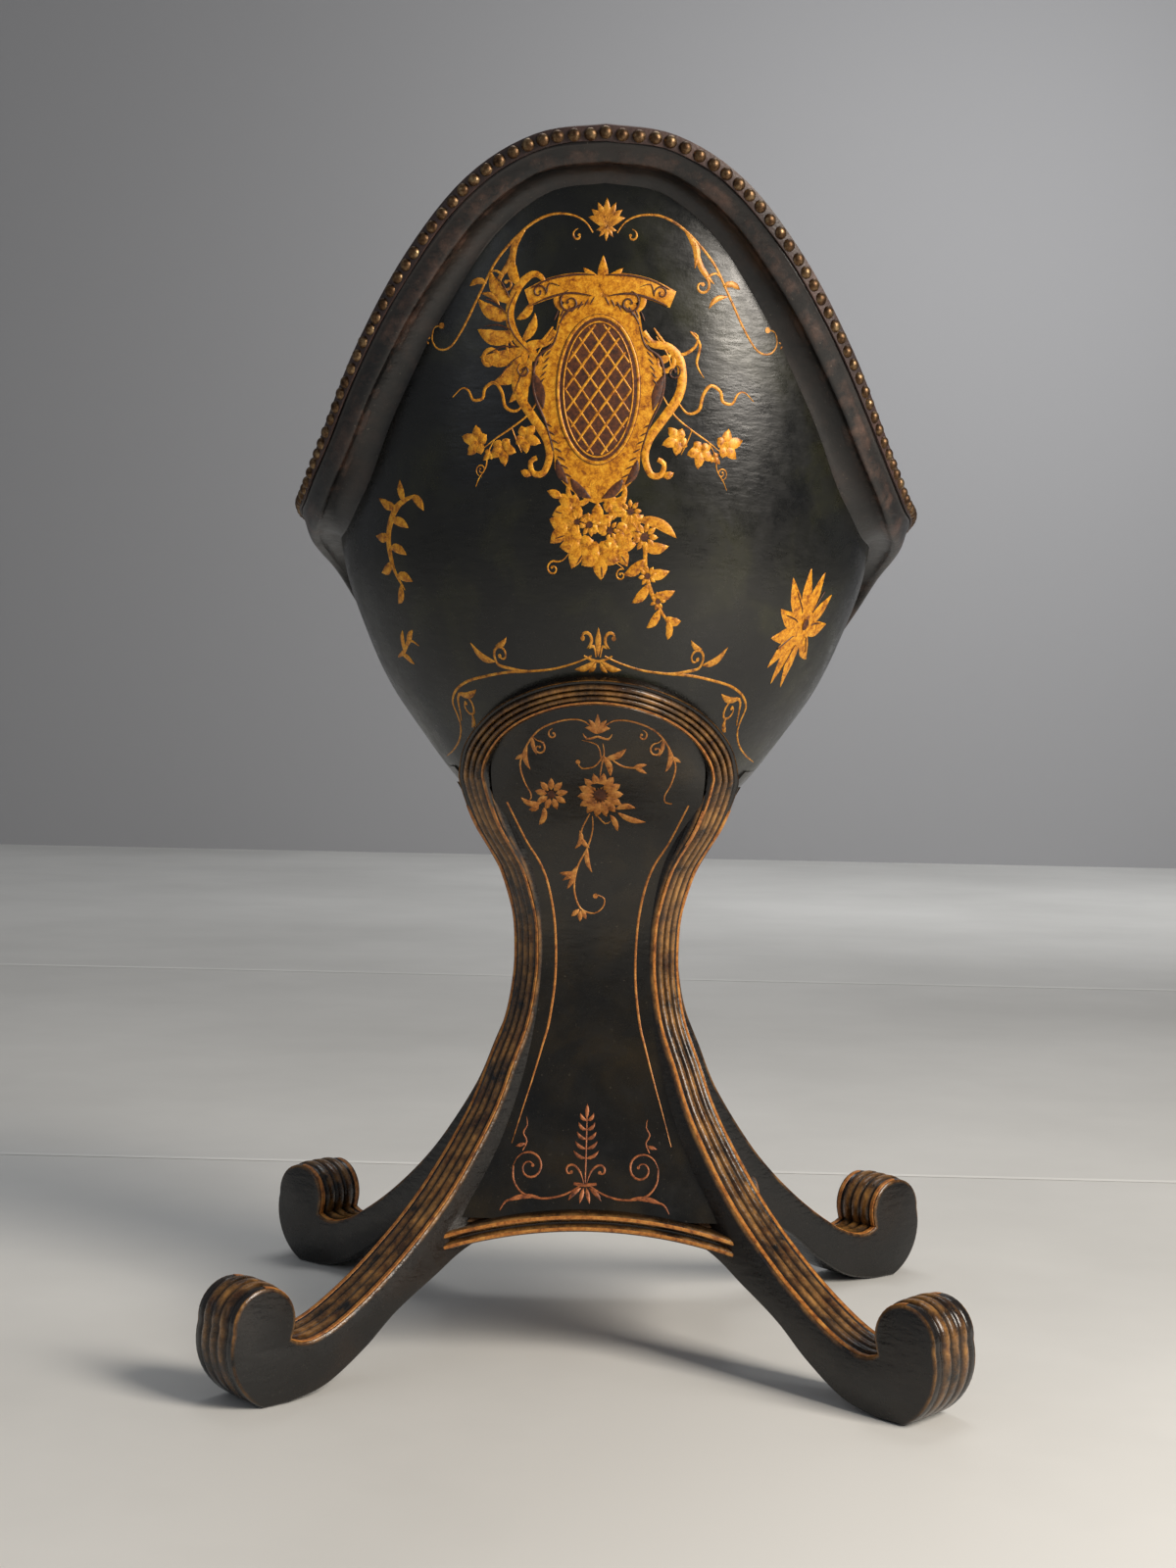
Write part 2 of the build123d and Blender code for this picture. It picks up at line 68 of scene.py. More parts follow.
def linear(hexColour):
    # sRGB hex to the linear colour that shaders take
    parts = [int(hexColour[k:k + 2], 16) / 255 for k in (1, 3, 5)]
    return [p / 12.92 if p <= 0.04045 else ((p + 0.055) / 1.055) ** 2.4 for p in parts] + [1]


def addNode(tree, kind, settings=None, links=None):
    node = tree.nodes.new(kind)
    for name, value in (settings or {}).items():
        if isinstance(name, int) or name in node.inputs:
            node.inputs[name].default_value = value
        else:
            setattr(node, name, value)
    for name, socket in (links or {}).items():
        tree.links.new(socket, node.inputs[name])
    return node


def ramp(tree, factor, places, hexColours):
    node = addNode(tree, "ShaderNodeValToRGB", links={"Fac": factor})
    elements = node.color_ramp.elements
    while len(elements) < len(places):
        elements.new(0.5)
    for element, place, hexColour in zip(elements, places, hexColours):
        element.position = place
        element.color = linear(hexColour)
    return node.outputs["Color"]


def blendColours(tree, factor, first, second):
    # factor and colours are sockets or plain values
    node = addNode(tree, "ShaderNodeMix", {"data_type": "RGBA"})
    for place, value in ((0, factor), (6, first), (7, second)):
        if isinstance(value, bpy.types.NodeSocket):
            tree.links.new(value, node.inputs[place])
        else:
            node.inputs[place].default_value = value
    return node.outputs[2]


def eased(share):
    share = min(max(share, 0), 1)
    return share * share * (3 - 2 * share)


def evenly(start, end, count):
    return [start + (end - start) * k / (count - 1) for k in range(count)]


def smoothValue(knots, values, at):
    # smooth curve through the values, level past either end
    if at <= knots[0]:
        return values[0]
    if at >= knots[-1]:
        return values[-1]
    right = next(k for k in range(1, len(knots)) if at <= knots[k])
    left = right - 1

    def slope(k):
        before, after = max(k - 1, 0), min(k + 1, len(knots) - 1)
        return (values[after] - values[before]) / (knots[after] - knots[before])

    span = knots[right] - knots[left]
    t = (at - knots[left]) / span
    return (values[left] * (2 * t ** 3 - 3 * t ** 2 + 1) + slope(left) * span * (t ** 3 - 2 * t ** 2 + t)
            + values[right] * (3 * t ** 2 - 2 * t ** 3) + slope(right) * span * (t ** 3 - t ** 2))


def throughPoints(points, step):
    # smooth line through given points, sampled about every step
    points = [Vector(p) for p in points]
    line = []
    for k in range(len(points) - 1):
        before, start = points[max(k - 1, 0)], points[k]
        end, after = points[k + 1], points[min(k + 2, len(points) - 1)]
        count = max(1, round((end - start).length / step))
        for i in range(count):
            t = i / count
            line.append(0.5 * (2 * start + (end - before) * t
                               + (2 * before - 5 * start + 4 * end - after) * t * t
                               + (3 * start - before - 3 * end + after) * t ** 3))
    return line + [points[-1]]


def arcThrough(first, middle, last, count):
    # circular arc through three points in a plane
    (ax, ay), (bx, by), (cx, cy) = first, middle, last
    a2, b2, c2 = ax * ax + ay * ay, bx * bx + by * by, cx * cx + cy * cy
    d = 2 * (ax * (by - cy) + bx * (cy - ay) + cx * (ay - by))
    ux = (a2 * (by - cy) + b2 * (cy - ay) + c2 * (ay - by)) / d
    uy = (a2 * (cx - bx) + b2 * (ax - cx) + c2 * (bx - ax)) / d
    radius = math.hypot(ax - ux, ay - uy)
    turns = [math.atan2(y - uy, x - ux) for x, y in (first, middle, last)]
    whole = 2 * math.pi
    sweep = (turns[2] - turns[0]) % whole
    if (turns[1] - turns[0]) % whole > sweep:
        sweep -= whole
    return [Vector(around((ux, uy), turns[0] + sweep * k / count, radius)) for k in range(count + 1)]


def around(centre, turn, distance):
    return centre[0] + distance * math.cos(turn), centre[1] + distance * math.sin(turn)


def softened(line, rounds):
    # cuts the corners of an open line
    for _ in range(rounds):
        cut = []
        for start, end in zip(line, line[1:]):
            cut += [start * 0.75 + end * 0.25, start * 0.25 + end * 0.75]
        line = [line[0]] + cut[1:-1] + [line[-1]]
    return line


def finishMesh(name, verts, faces, material, marks=None, sharp=40):
    # one named object in metres, shaded smooth except at real arrises
    mesh = bpy.data.meshes.new(name)
    mesh.from_pydata([v * mm for v in verts], [], faces)
    for mark, values in (marks or {}).items():
        mesh.attributes.new(mark, "FLOAT", "POINT").data.foreach_set("value", values)
    build = bmesh.new()
    build.from_mesh(mesh)
    bmesh.ops.recalc_face_normals(build, faces=build.faces)
    build.to_mesh(mesh)
    build.free()
    mesh.shade_smooth()
    mesh.set_sharp_from_angle(angle=math.radians(sharp))
    piece = bpy.data.objects.new(name, mesh)
    bpy.context.collection.objects.link(piece)
    piece.data.materials.append(material)
    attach(piece, rootBody)
    return piece


def gridFaces(rowCount, colCount, wrapRows, first=0):
    faces = []
    for r in range(rowCount if wrapRows else rowCount - 1):
        here, beyond = first + r * colCount, first + (r + 1) % rowCount * colCount
        for c in range(colCount):
            nextCol = (c + 1) % colCount
            faces.append((here + c, here + nextCol, beyond + nextCol, beyond + c))
    return faces


def endCaps(first, count, total):
    return [tuple(range(first, first + count))[::-1], tuple(range(total - count, total))]


def gridPiece(name, rows, material, wrapRows=False, marks=None, sharp=40):
    # closed rows of points joined into a skin; the ends of a tube are capped
    verts = [v for row in rows for v in row]
    faces = gridFaces(len(rows), len(rows[0]), wrapRows)
    if not wrapRows:
        faces += endCaps(0, len(rows[0]), len(verts))
    return finishMesh(name, verts, faces, material, marks, sharp)


# The tub's form, the same as the joiner's model

tub = {
    "bottom": 432, "lineTop": 960, "halfWidth": 226, "halfBack": 216, "halfFront": 240,
    "levels": (0, 0.045, 0.119, 0.191, 0.271, 0.366, 0.508, 0.760, 1),
    "widths": (0.407, 0.522, 0.655, 0.770, 0.858, 0.936, 0.980, 0.993, 1),
    "backs": (0.417, 0.528, 0.676, 0.782, 0.866, 0.921, 0.963, 0.990, 1),
    "fronts": (0.383, 0.529, 0.738, 0.863, 0.929, 0.971, 0.996, 1, 1),
    "wall": 17, "footWall": 27, "taper": 120, "floorTop": 450, "floorGap": 0.4, "floorRings": (0.04, 0.5, 1),
    "crest": 926, "lip": 512, "riseStep": 12,
    "rises": (1, 0.985, 0.920, 0.801, 0.656, 0.511, 0.426, 0.407, 0.392, 0.356,
              0.276, 0.169, 0.080, 0.024, 0.005, 0),
    "angleStep": 2, "levelCount": 44, "innerEvery": 3,
}


def halfSizes(height):
    share = (height - tub["bottom"]) / (tub["lineTop"] - tub["bottom"])
    return [tub[half] * smoothValue(tub["levels"], tub[line], share)
            for half, line in (("halfWidth", "widths"), ("halfBack", "backs"), ("halfFront", "fronts"))]


def ovalReach(angle, sizes):
    across, along = math.sin(math.radians(angle)), math.cos(math.radians(angle))
    return 1 / math.hypot(across / sizes[0], along / (sizes[1] if along > 0 else sizes[2]))


def reach(angle, height):
    return ovalReach(angle, halfSizes(height))


def fromBack(angle):
    return abs((angle + 180) % 360 - 180)


def topHeight(angle):
    turns = [tub["riseStep"] * k for k in range(len(tub["rises"]))]
    return tub["lip"] + (tub["crest"] - tub["lip"]) * smoothValue(turns, tub["rises"], fromBack(angle))


def wallAt(height):
    share = min(max((height - tub["bottom"]) / tub["taper"], 0), 1)
    return tub["footWall"] + (tub["wall"] - tub["footWall"]) * share


def steepness(angle):
    step = tub["riseStep"] / 4
    climb = topHeight(angle + step) - topHeight(angle - step)
    return math.hypot(1, climb / (reach(angle, topHeight(angle)) * math.radians(2 * step)))


def polar(angle, distance, height):
    # angle runs round Z from the middle of the back towards +X
    turn = math.radians(angle)
    return Vector((distance * math.sin(turn), -distance * math.cos(turn), height))


def wholeTurn(step):
    return [step * k for k in range(round(360 / step))]


# Materials

lacquerLook = {
    # black lacquer over gesso, hand brushed and rubbed: deep gloss, slow brown and green clouds
    "cloudSize": 70, "cloudStops": (0.36, 0.50, 0.66),
    "grimeSize": 18, "grimeRange": (0.45, 0.75), "grimeShare": 0.55,
    "rubSize": 26, "rubRange": (0.62, 0.78), "rubGain": (0.3, 0.2), "rubStops": (0.35, 0.62),
    "speckSize": 2.2, "speckRange": (0.70, 0.78), "speckColour": "#8B8272",
    "sheenRange": (0.3, 0.7), "sheenSpread": (-0.06, 0.12),
    # size, then strength and depth in mm: brushed waves that show in the highlights, fine
    # orange peel drawn a little coarse so that it shows, and the step down to rubbed places
    "rippleSize": 5, "rippleStretch": (0.35, 0.35, 1.0), "ripple": (0.22, 1.2),
    "peelSize": 1.6, "peel": (0.10, 0.6), "rubStep": (0.35, 0.8),
    "ior": 1.52,
}


def startMaterial(name):
    material = bpy.data.materials.new(name)
    material.use_nodes = True
    tree = material.node_tree
    place = addNode(tree, "ShaderNodeTexCoord").outputs["Object"]
    return material, tree, tree.nodes["Principled BSDF"], place


def noise(tree, place, size, detail, roughness=0.5, distortion=0.0):
    # size is the width of a patch in mm
    return addNode(tree, "ShaderNodeTexNoise", {
        "Scale": 1 / (size * mm), "Detail": detail, "Roughness": roughness, "Distortion": distortion},
        {"Vector": place}).outputs["Fac"]


def remapped(tree, value, low, high, first=0.0, last=1.0):
    return addNode(tree, "ShaderNodeMapRange", {
        "From Min": low, "From Max": high, "To Min": first, "To Max": last},
        {"Value": value}).outputs["Result"]


def addBumps(tree, shader, *layers):
    # layers of (height, strength, distance in mm), each over the one before
    normal = None
    for height, strength, distance in layers:
        links = {"Height": height, "Normal": normal} if normal else {"Height": height}
        settings = {"Strength": strength, "Distance": distance * mm}
        normal = addNode(tree, "ShaderNodeBump", settings, links).outputs[0]
    tree.links.new(normal, shader.inputs["Normal"])


def makeLacquer(name, colours, wearColours, roughness, wearShare, bump, dust):
    # colours: deep, cloud, second cloud; wearColours: rubbed edge and bright rub
    material, tree, shader, place = startMaterial(name)
    look = lacquerLook
    clouds = noise(tree, place, look["cloudSize"], 4, 0.55, 0.4)
    base = ramp(tree, clouds, look["cloudStops"], colours)
    grime = noise(tree, place, look["grimeSize"], 6, 0.7)
    dulled = remapped(tree, grime, *look["grimeRange"], 0, look["grimeShare"])
    base = blendColours(tree, dulled, base, linear(colours[0]))
    wearMark = addNode(tree, "ShaderNodeAttribute", {"attribute_name": "wear"}).outputs["Fac"]
    rubbed = noise(tree, place, look["rubSize"], 7, 0.72)
    rubRange = [limit - gain * wearShare for limit, gain in zip(look["rubRange"], look["rubGain"])]
    rubbed = remapped(tree, rubbed, *rubRange)
    worn = addNode(tree, "ShaderNodeMath", {"operation": "MULTIPLY"}, {0: wearMark, 1: rubbed}).outputs[0]
    base = blendColours(tree, worn, base, ramp(tree, grime, look["rubStops"], wearColours))
    specks = remapped(tree, noise(tree, place, look["speckSize"], 2), *look["speckRange"], 0, dust)
    base = blendColours(tree, specks, base, linear(look["speckColour"]))
    tree.links.new(base, shader.inputs["Base Color"])
    sheen = remapped(tree, grime, *look["sheenRange"], *[roughness + part for part in look["sheenSpread"]])
    tree.links.new(sheen, shader.inputs["Roughness"])
    stretched = addNode(tree, "ShaderNodeMapping", {"Scale": look["rippleStretch"]}, {"Vector": place})
    waves = noise(tree, stretched.outputs[0], look["rippleSize"], 2)
    peel = noise(tree, place, look["peelSize"], 3)
    (waveStrength, waveDepth), (peelStrength, peelDepth) = look["ripple"], look["peel"]
    addBumps(tree, shader, (waves, waveStrength * bump, waveDepth), (peel, peelStrength * bump, peelDepth),
             (worn, *look["rubStep"]))
    shader.inputs["IOR"].default_value = look["ior"]
    return material


def makeGilt(name, colours, roughness, metallic, size):
    # oil gilding and gold paint under brown varnish: warm, broken by fine brown crackle
    material, tree, shader, place = startMaterial(name)
    crackle = 2.6  # mm between the cracks
    broken = noise(tree, place, size, 8, 0.75, 0.3)
    toned = ramp(tree, broken, (0.36, 0.49, 0.64), colours)
    fine = addNode(tree, "ShaderNodeTexVoronoi", {
        "Scale": 1 / (crackle * mm), "feature": "DISTANCE_TO_EDGE"}, {"Vector": place}).outputs["Distance"]
    toned = blendColours(tree, remapped(tree, fine, 0, 0.05, 0.55, 0), toned, linear(colours[0]))
    tree.links.new(toned, shader.inputs["Base Color"])
    shader.inputs["Roughness"].default_value = roughness
    shader.inputs["Metallic"].default_value = metallic
    addBumps(tree, shader, (broken, 0.2, 0.4))
    return material


def makeLeather(name, colours, roughness, pore):
    # vegetable tanned hide, waxed and aged: fine pebbled pores and long creases
    material, tree, shader, place = startMaterial(name)
    base = ramp(tree, noise(tree, place, 55, 6, 0.65), (0.30, 0.52, 0.75), colours)
    tree.links.new(base, shader.inputs["Base Color"])
    shader.inputs["Roughness"].default_value = roughness
    cells = addNode(tree, "ShaderNodeTexVoronoi", {"Scale": 1 / (pore * mm)}, {"Vector": place})
    creases = noise(tree, place, 22, 5, 0.5, 1.6)
    addBumps(tree, shader, (cells.outputs["Distance"], 0.25, 0.6), (creases, 0.30, 1.6))
    return material


def makeMetal(name, colours, roughness, size):
    # beaten or forged metal with patina in its low places
    material, tree, shader, place = startMaterial(name)
    patina = noise(tree, place, size, 5, 0.7)
    tree.links.new(ramp(tree, patina, (0.32, 0.50, 0.70), colours), shader.inputs["Base Color"])
    shader.inputs["Metallic"].default_value = 0.9
    sheen = remapped(tree, patina, 0.3, 0.7, roughness + 0.15, roughness - 0.05)
    tree.links.new(sheen, shader.inputs["Roughness"])
    addBumps(tree, shader, (patina, 0.3, 0.5))
    return material


def makeBareBeech(name):
    # planed beech, oxidised brown, with fine long grain
    material, tree, shader, place = startMaterial(name)
    along = addNode(tree, "ShaderNodeMapping", {"Scale": (1.0, 1.0, 0.08)}, {"Vector": place}).outputs[0]
    grain = noise(tree, along, 3.5, 6, 0.6)
    base = ramp(tree, grain, (0.30, 0.55, 0.75), ("#4A301A", "#7A5330", "#9A7148"))
    tree.links.new(base, shader.inputs["Base Color"])
    shader.inputs["Roughness"].default_value = 0.62
    addBumps(tree, shader, (grain, 0.25, 0.5))
    return material


tubLacquer = makeLacquer("aged black lacquer on the tub", ("#040403", "#0D0D07", "#20200F"),
                         ("#3A2216", "#6B4426"), 0.27, 0.5, 1.0, 0.10)
rimLacquer = makeLacquer("scuffed black lacquer moulding", ("#070606", "#100D0C", "#1B1613"),
                         ("#2E1C16", "#5E463A"), 0.32, 0.55, 1.6, 0.30)
reedLacquer = makeLacquer("reeded lacquer rubbed to brown", ("#050403", "#0D0906", "#1A1109"),
                          ("#55300F", "#B07E40"), 0.24, 0.85, 1.6, 0.12)
panelLacquer = makeLacquer("olive black lacquer on the pedestal", ("#060503", "#130F07", "#241C0C"),
                           ("#3A2216", "#6B4426"), 0.24, 0.5, 0.8, 0.20)
giltBright = makeGilt("gold leaf under amber varnish", ("#7A3C06", "#D0860F", "#F2B02E"), 0.40, 0.12, 5)
giltBrown = makeGilt("brown engraving over gold", ("#2A1408", "#4A240E", "#6B3A16"), 0.5, 0.0, 3)
giltDull = makeGilt("rubbed copper gilding", ("#6A3A16", "#B4702E", "#D09448"), 0.42, 0.15, 7)
giltBorder = makeGilt("thin gold lines under varnish", ("#6A3A0C", "#C07C1C", "#E0A238"), 0.40, 0.15, 6)
giltFoot = makeGilt("red copper gilding", ("#4A2412", "#94522A", "#B8713E"), 0.48, 0.2, 6)
nailBrass = makeMetal("oxidised brass nail heads", ("#2A1C14", "#5C4530", "#9A8260"), 0.36, 6)
forgedIron = makeMetal("forged iron", ("#1A1614", "#35302C", "#5A534C"), 0.5, 8)
edgeLeather = makeLeather("aged strip leather", ("#1E1513", "#3A2824", "#5E463E"), 0.5, 2.0)
seatLeather = makeLeather("waxed brown hide", ("#3A1D10", "#5C3018", "#7A4524"), 0.42, 2.4)
bareBeech = makeBareBeech("bare beech")
print("materials made")


# Tub shell: one wall from the floor edge up to the sloping top line

def makeTubShell():
    rows = []
    for angle in wholeTurn(tub["angleStep"]):
        heights = evenly(tub["bottom"], topHeight(angle), tub["levelCount"])
        outer = [polar(angle, reach(angle, z), z) for z in heights]
        inner = [polar(angle, reach(angle, z) - wallAt(z), z) for z in heights[::-tub["innerEvery"]]]
        inner.append(polar(angle, reach(angle, tub["bottom"]) - tub["footWall"], tub["bottom"]))
        rows.append(outer + inner)
    shell = gridPiece("tubShell", rows, tubLacquer, wrapRows=True)
    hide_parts(*["tub_stave_" + place for place in ringParts])


def makeTubFloor():
    # the board that closes the tub, let into the shell
    rows = []
    top, under = tub["floorTop"], tub["bottom"] + tub["floorGap"]
    for angle in wholeTurn(4):
        edge = reach(angle, tub["bottom"]) - tub["footWall"] - tub["floorGap"]
        rows.append([polar(angle, edge * share, top) for share in tub["floorRings"]]
                    + [polar(angle, edge * share, under) for share in tub["floorRings"][::-1]])
    board = gridPiece("tubFloorBoard", rows, bareBeech, wrapRows=True)
    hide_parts("tub_floor")


# Rim moulding: a flat band, a soft bead and a cove down to the tub

rim = {
    "overhang": 28, "depth": 44, "changeStart": 56, "changeEnd": 96,
    "back": ((1, 0), (1, 0.27), (0.96, 0.29), (0.80, 0.50), (0.70, 0.55), (0.60, 0.52)),
    "arm": ((1, 0), (1, 0.27), (0.96, 0.29), (0.80, 0.66), (0.63, 0.81), (0.47, 0.78)),
    "backFoot": 0.76, "armFoot": 0.73, "backBow": (0.075, 0.05), "armBow": (0, 0.07),
    "bite": 2.0, "wobble": 0.3, "wobblePoints": 20, "wobbleWaves": (11, 3), "wobbleShift": 40,
    "wornPoints": (8, 24), "wornShare": 0.8, "elseShare": 0.2,  # points of the section that are rubbed
}


def rimSection(angle):
    blend = eased((fromBack(angle) - rim["changeStart"]) / (rim["changeEnd"] - rim["changeStart"]))
    top = topHeight(angle)
    root = reach(angle, top)
    overhang, drop = rim["overhang"], rim["depth"] * steepness(angle)

    def mix(back, arm):
        return back + (arm - back) * blend

    points = [Vector((root + overhang * mix(b[0], a[0]), top - drop * mix(b[1], a[1])))
              for b, a in zip(rim["back"], rim["arm"])]
    footHeight = top - drop * mix(rim["backFoot"], rim["armFoot"])
    foot = Vector((reach(angle, footHeight), footHeight))
    bow = [mix(b, a) for b, a in zip(rim["backBow"], rim["armBow"])]
    hollow = (points[-1] + foot) / 2 + Vector((-overhang * bow[0], drop * bow[1]))
    line = softened(points + arcThrough(points[-1], hollow, foot, 8)[1:], 2)
    return line + [Vector((foot[0] - rim["bite"], foot[1])), Vector((root - rim["bite"], top))]


def makeRim():
    # the old moulding is a little uneven by hand
    rows = []
    for angle in wholeTurn(tub["angleStep"]):
        fast, slow = [math.radians(angle * waves) for waves in rim["wobbleWaves"]]
        wobble = rim["wobble"] * math.sin(fast) * math.sin(slow + math.radians(rim["wobbleShift"]))
        rows.append([polar(angle, out + wobble * (0 < k < rim["wobblePoints"]), up)
                     for k, (out, up) in enumerate(rimSection(angle))])
    low, high = rim["wornPoints"]
    marks = [rim["wornShare"] if low <= k <= high else rim["elseShare"] for k in range(len(rows[0]))]
    moulding = gridPiece("rimMoulding", rows, rimLacquer, wrapRows=True,
                         marks={"wear": marks * len(rows)}, sharp=60)
    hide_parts(*["rim_" + place for place in ringParts])


# Leather edge that caps the rim and hangs down behind the nails

edge = {
    "gap": 0.3, "leather": 1.6, "drop": 11, "roll": 6, "lining": 14,
    "waver": 0.35, "waverWaves": (17, 29), "waverShift": 50,  # the cut lower edge isn't straight
    "sunk": 0.2, "hem": (0.3, 0.1, 0.5), "turnedIn": 0.6,  # mm that take the sharpness off its edges
}


def liningRoom(angle, height):
    return reach(angle, height) - wallAt(height) - 2 * edge["gap"] - edge["lining"]


def makeLeatherEdge():
    rows = []
    for angle in wholeTurn(tub["angleStep"]):
        top = topHeight(angle) + edge["gap"]
        inner = liningRoom(angle, top)
        outer = reach(angle, top) + rim["overhang"] + edge["gap"]
        slow, fast = [math.radians(angle * waves) for waves in edge["waverWaves"]]
        waver = edge["waver"] * (math.sin(slow) + math.sin(fast + math.radians(edge["waverShift"])))
        low = top - (edge["drop"] + waver) * steepness(angle)
        face = outer + edge["leather"]
        crown = arcThrough((face, top), ((inner + outer) / 2, top + edge["roll"]), (inner, top), 12)
        back, under, over = edge["hem"]
        sunk = top - edge["sunk"]
        line = [(outer, sunk), (outer, low), (face - back, low - under), (face, low + over)]
        rows.append([polar(angle, out, up) for out, up in line + crown + [(inner + edge["turnedIn"], sunk)]])
    cap = gridPiece("leatherEdge", rows, edgeLeather, wrapRows=True)
    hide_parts(*["leather_edge_" + place for place in ("back", "left", "right", "front")])


# Domed nails, close set along the leather

nail = {"diameter": 10, "height": 4, "pitch": 11.5, "drop": 5.5, "rings": 4, "sides": 14,
        "shift": 0.35, "lean": 5.0, "sunk": 0.3}


def nailPlace(angle):
    top = topHeight(angle)
    distance = reach(angle, top) + rim["overhang"] + edge["gap"] + edge["leather"]
    return polar(angle, distance, top - nail["drop"] * steepness(angle))


def makeNails():
    fine = [k / 4 for k in range(4 * 360 + 1)]
    lengths = [0]
    for before, after in zip(fine, fine[1:]):
        lengths.append(lengths[-1] + (nailPlace(after) - nailPlace(before)).length)
    count = round(lengths[-1] / nail["pitch"])
    tilt = math.radians(nail["lean"])
    verts, faces = [], []
    for k in range(count):
        angle = next(a for a, run in zip(fine, lengths) if run >= lengths[-1] * k / count)
        outward = polar(angle, 1, 0)
        along = (nailPlace(angle + 0.5) - nailPlace(angle - 0.5)).normalized()
        across = outward.cross(along).normalized()
        facing = outward + along * random.uniform(-tilt, tilt) + across * random.uniform(-tilt, tilt)
        facing.normalize()
        along = (along - facing * along.dot(facing)).normalized()
        across = facing.cross(along)
        shift = random.uniform(-nail["shift"], nail["shift"])
        middle = nailPlace(angle) + across * shift - facing * nail["sunk"]
        radius = nail["diameter"] / 2 * random.uniform(0.95, 1.0)
        first = len(verts)
        for ring in range(nail["rings"]):
            lift = math.radians(90) * ring / nail["rings"]
            for side in range(nail["sides"]):
                turn = 2 * math.pi * side / nail["sides"]
                verts.append(middle + facing * nail["height"] * math.sin(lift)
                             + (along * math.cos(turn) + across * math.sin(turn)) * radius * math.cos(lift))
        verts.append(middle + facing * nail["height"])
        faces += gridFaces(nail["rings"], nail["sides"], False, first)
        lastRing = first + (nail["rings"] - 1) * nail["sides"]
        for side in range(nail["sides"]):
            faces.append((lastRing + side, lastRing + (side + 1) % nail["sides"], len(verts) - 1))
        faces.append(tuple(range(first, first + nail["sides"]))[::-1])
    heads = finishMesh("nailHeads", verts, faces, nailBrass, sharp=70)
    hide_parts("nails")


# Lining: four hides, each a little crowned between its seams

lining = {
    "spans": {"back": (-72, 72), "right": (72, 120), "left": (-120, -72), "front": (120, 240)},
    "deckTop": 488, "angleStep": 2, "levelCount": 26,
    "seamShare": 0.45, "seamWidth": 3.75, "endShare": 0.7, "endLevels": 2.5,
}


def makeLining(place, start, end):
    rows = []
    count = lining["levelCount"]
    for angle in evenly(start, end, round((end - start) / lining["angleStep"]) + 1):
        toSeam = min(angle - start, end - angle) / lining["seamWidth"]
        crown = 1 - (1 - lining["seamShare"]) * math.exp(-toSeam)
        levels = evenly(lining["deckTop"], topHeight(angle), count)
        row = [polar(angle, reach(angle, z) - wallAt(z) - 2 * edge["gap"], z) for z in levels]
        for n, z in enumerate(levels[::-1]):
            toEnd = min(n, count - 1 - n) / lining["endLevels"]
            puff = crown * (1 - (1 - lining["endShare"]) * math.exp(-toEnd))
            row.append(polar(angle, reach(angle, z) - wallAt(z) - 2 * edge["gap"] - edge["lining"] * puff, z))
        rows.append(row)
    hide = gridPiece("lining_" + place + "_hide", rows, seatLeather)
    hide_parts("lining_" + place)


# Squab cushion with piped seams and a crowned top

cushion = {
    "thickness": 58, "step": 3, "levels": 41,
    "heights": (0, 0.05, 0.16, 0.34, 0.52, 0.68, 0.80, 0.90, 0.96, 1),
    "sizes": (0.90, 0.965, 0.990, 0.968, 0.968, 0.985, 0.955, 0.84, 0.62, 0.30),
    "piping": 2.6, "pipingLevels": (0.13, 0.70), "pipingSunk": 1.2, "pipingSides": 8,
    "puckers": 26, "pucker": 0.8, "puckerReach": 0.12,
    "underRings": (0.05, 0.5), "topRings": (0.7, 0.4, 0.05),
}


def cushionReach(angle, share):
    height = lining["deckTop"] + edge["gap"] + cushion["thickness"] * share
    rooms = (liningRoom(90, height), liningRoom(0, height),
             min(liningRoom(180, height), liningRoom(180, tub["lip"])))
    size = smoothValue(cushion["heights"], cushion["sizes"], share)
    return ovalReach(angle, [(room - 2 * edge["gap"]) * size for room in rooms]), height


def makeCushion():
    rows = []
    for angle in wholeTurn(cushion["step"]):
        out, up = cushionReach(angle, 0)
        row = [polar(angle, out * inward, up) for inward in cushion["underRings"]]
        for share in evenly(0, 1, cushion["levels"]):
            out, up = cushionReach(angle, share)
            toSeam = min(abs(share - level) for level in cushion["pipingLevels"])
            nearSeam = max(0, 1 - toSeam / cushion["puckerReach"])
            out -= nearSeam * cushion["pucker"] * (1 + math.cos(math.radians(angle * cushion["puckers"])))
            row.append(polar(angle, out, up))
        out, up = cushionReach(angle, 1)
        rows.append(row + [polar(angle, out * inward, up) for inward in cushion["topRings"]])
    squab = gridPiece("seatSquab", rows, seatLeather, wrapRows=True, sharp=70)
    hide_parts("seat_cushion")
    turns = [2 * math.pi * k / cushion["pipingSides"] for k in range(cushion["pipingSides"])]
    for name, level in zip(("lowerPiping", "upperPiping"), cushion["pipingLevels"]):
        rings = []
        for angle in wholeTurn(cushion["step"]):
            out, up = cushionReach(angle, level)
            centre = (out - cushion["pipingSunk"], up)
            rings.append([polar(angle, *around(centre, turn, cushion["piping"])) for turn in turns])
        gridPiece(name, rings, seatLeather, wrapRows=True, sharp=80)


makeTubShell()
makeTubFloor()
makeRim()
makeLeatherEdge()
makeNails()
for place, span in lining["spans"].items():
    makeLining(place, *span)
makeCushion()
print("tub, rim and upholstery made")


# Legs: planks with a reeded outer edge that ends in a rolled foot

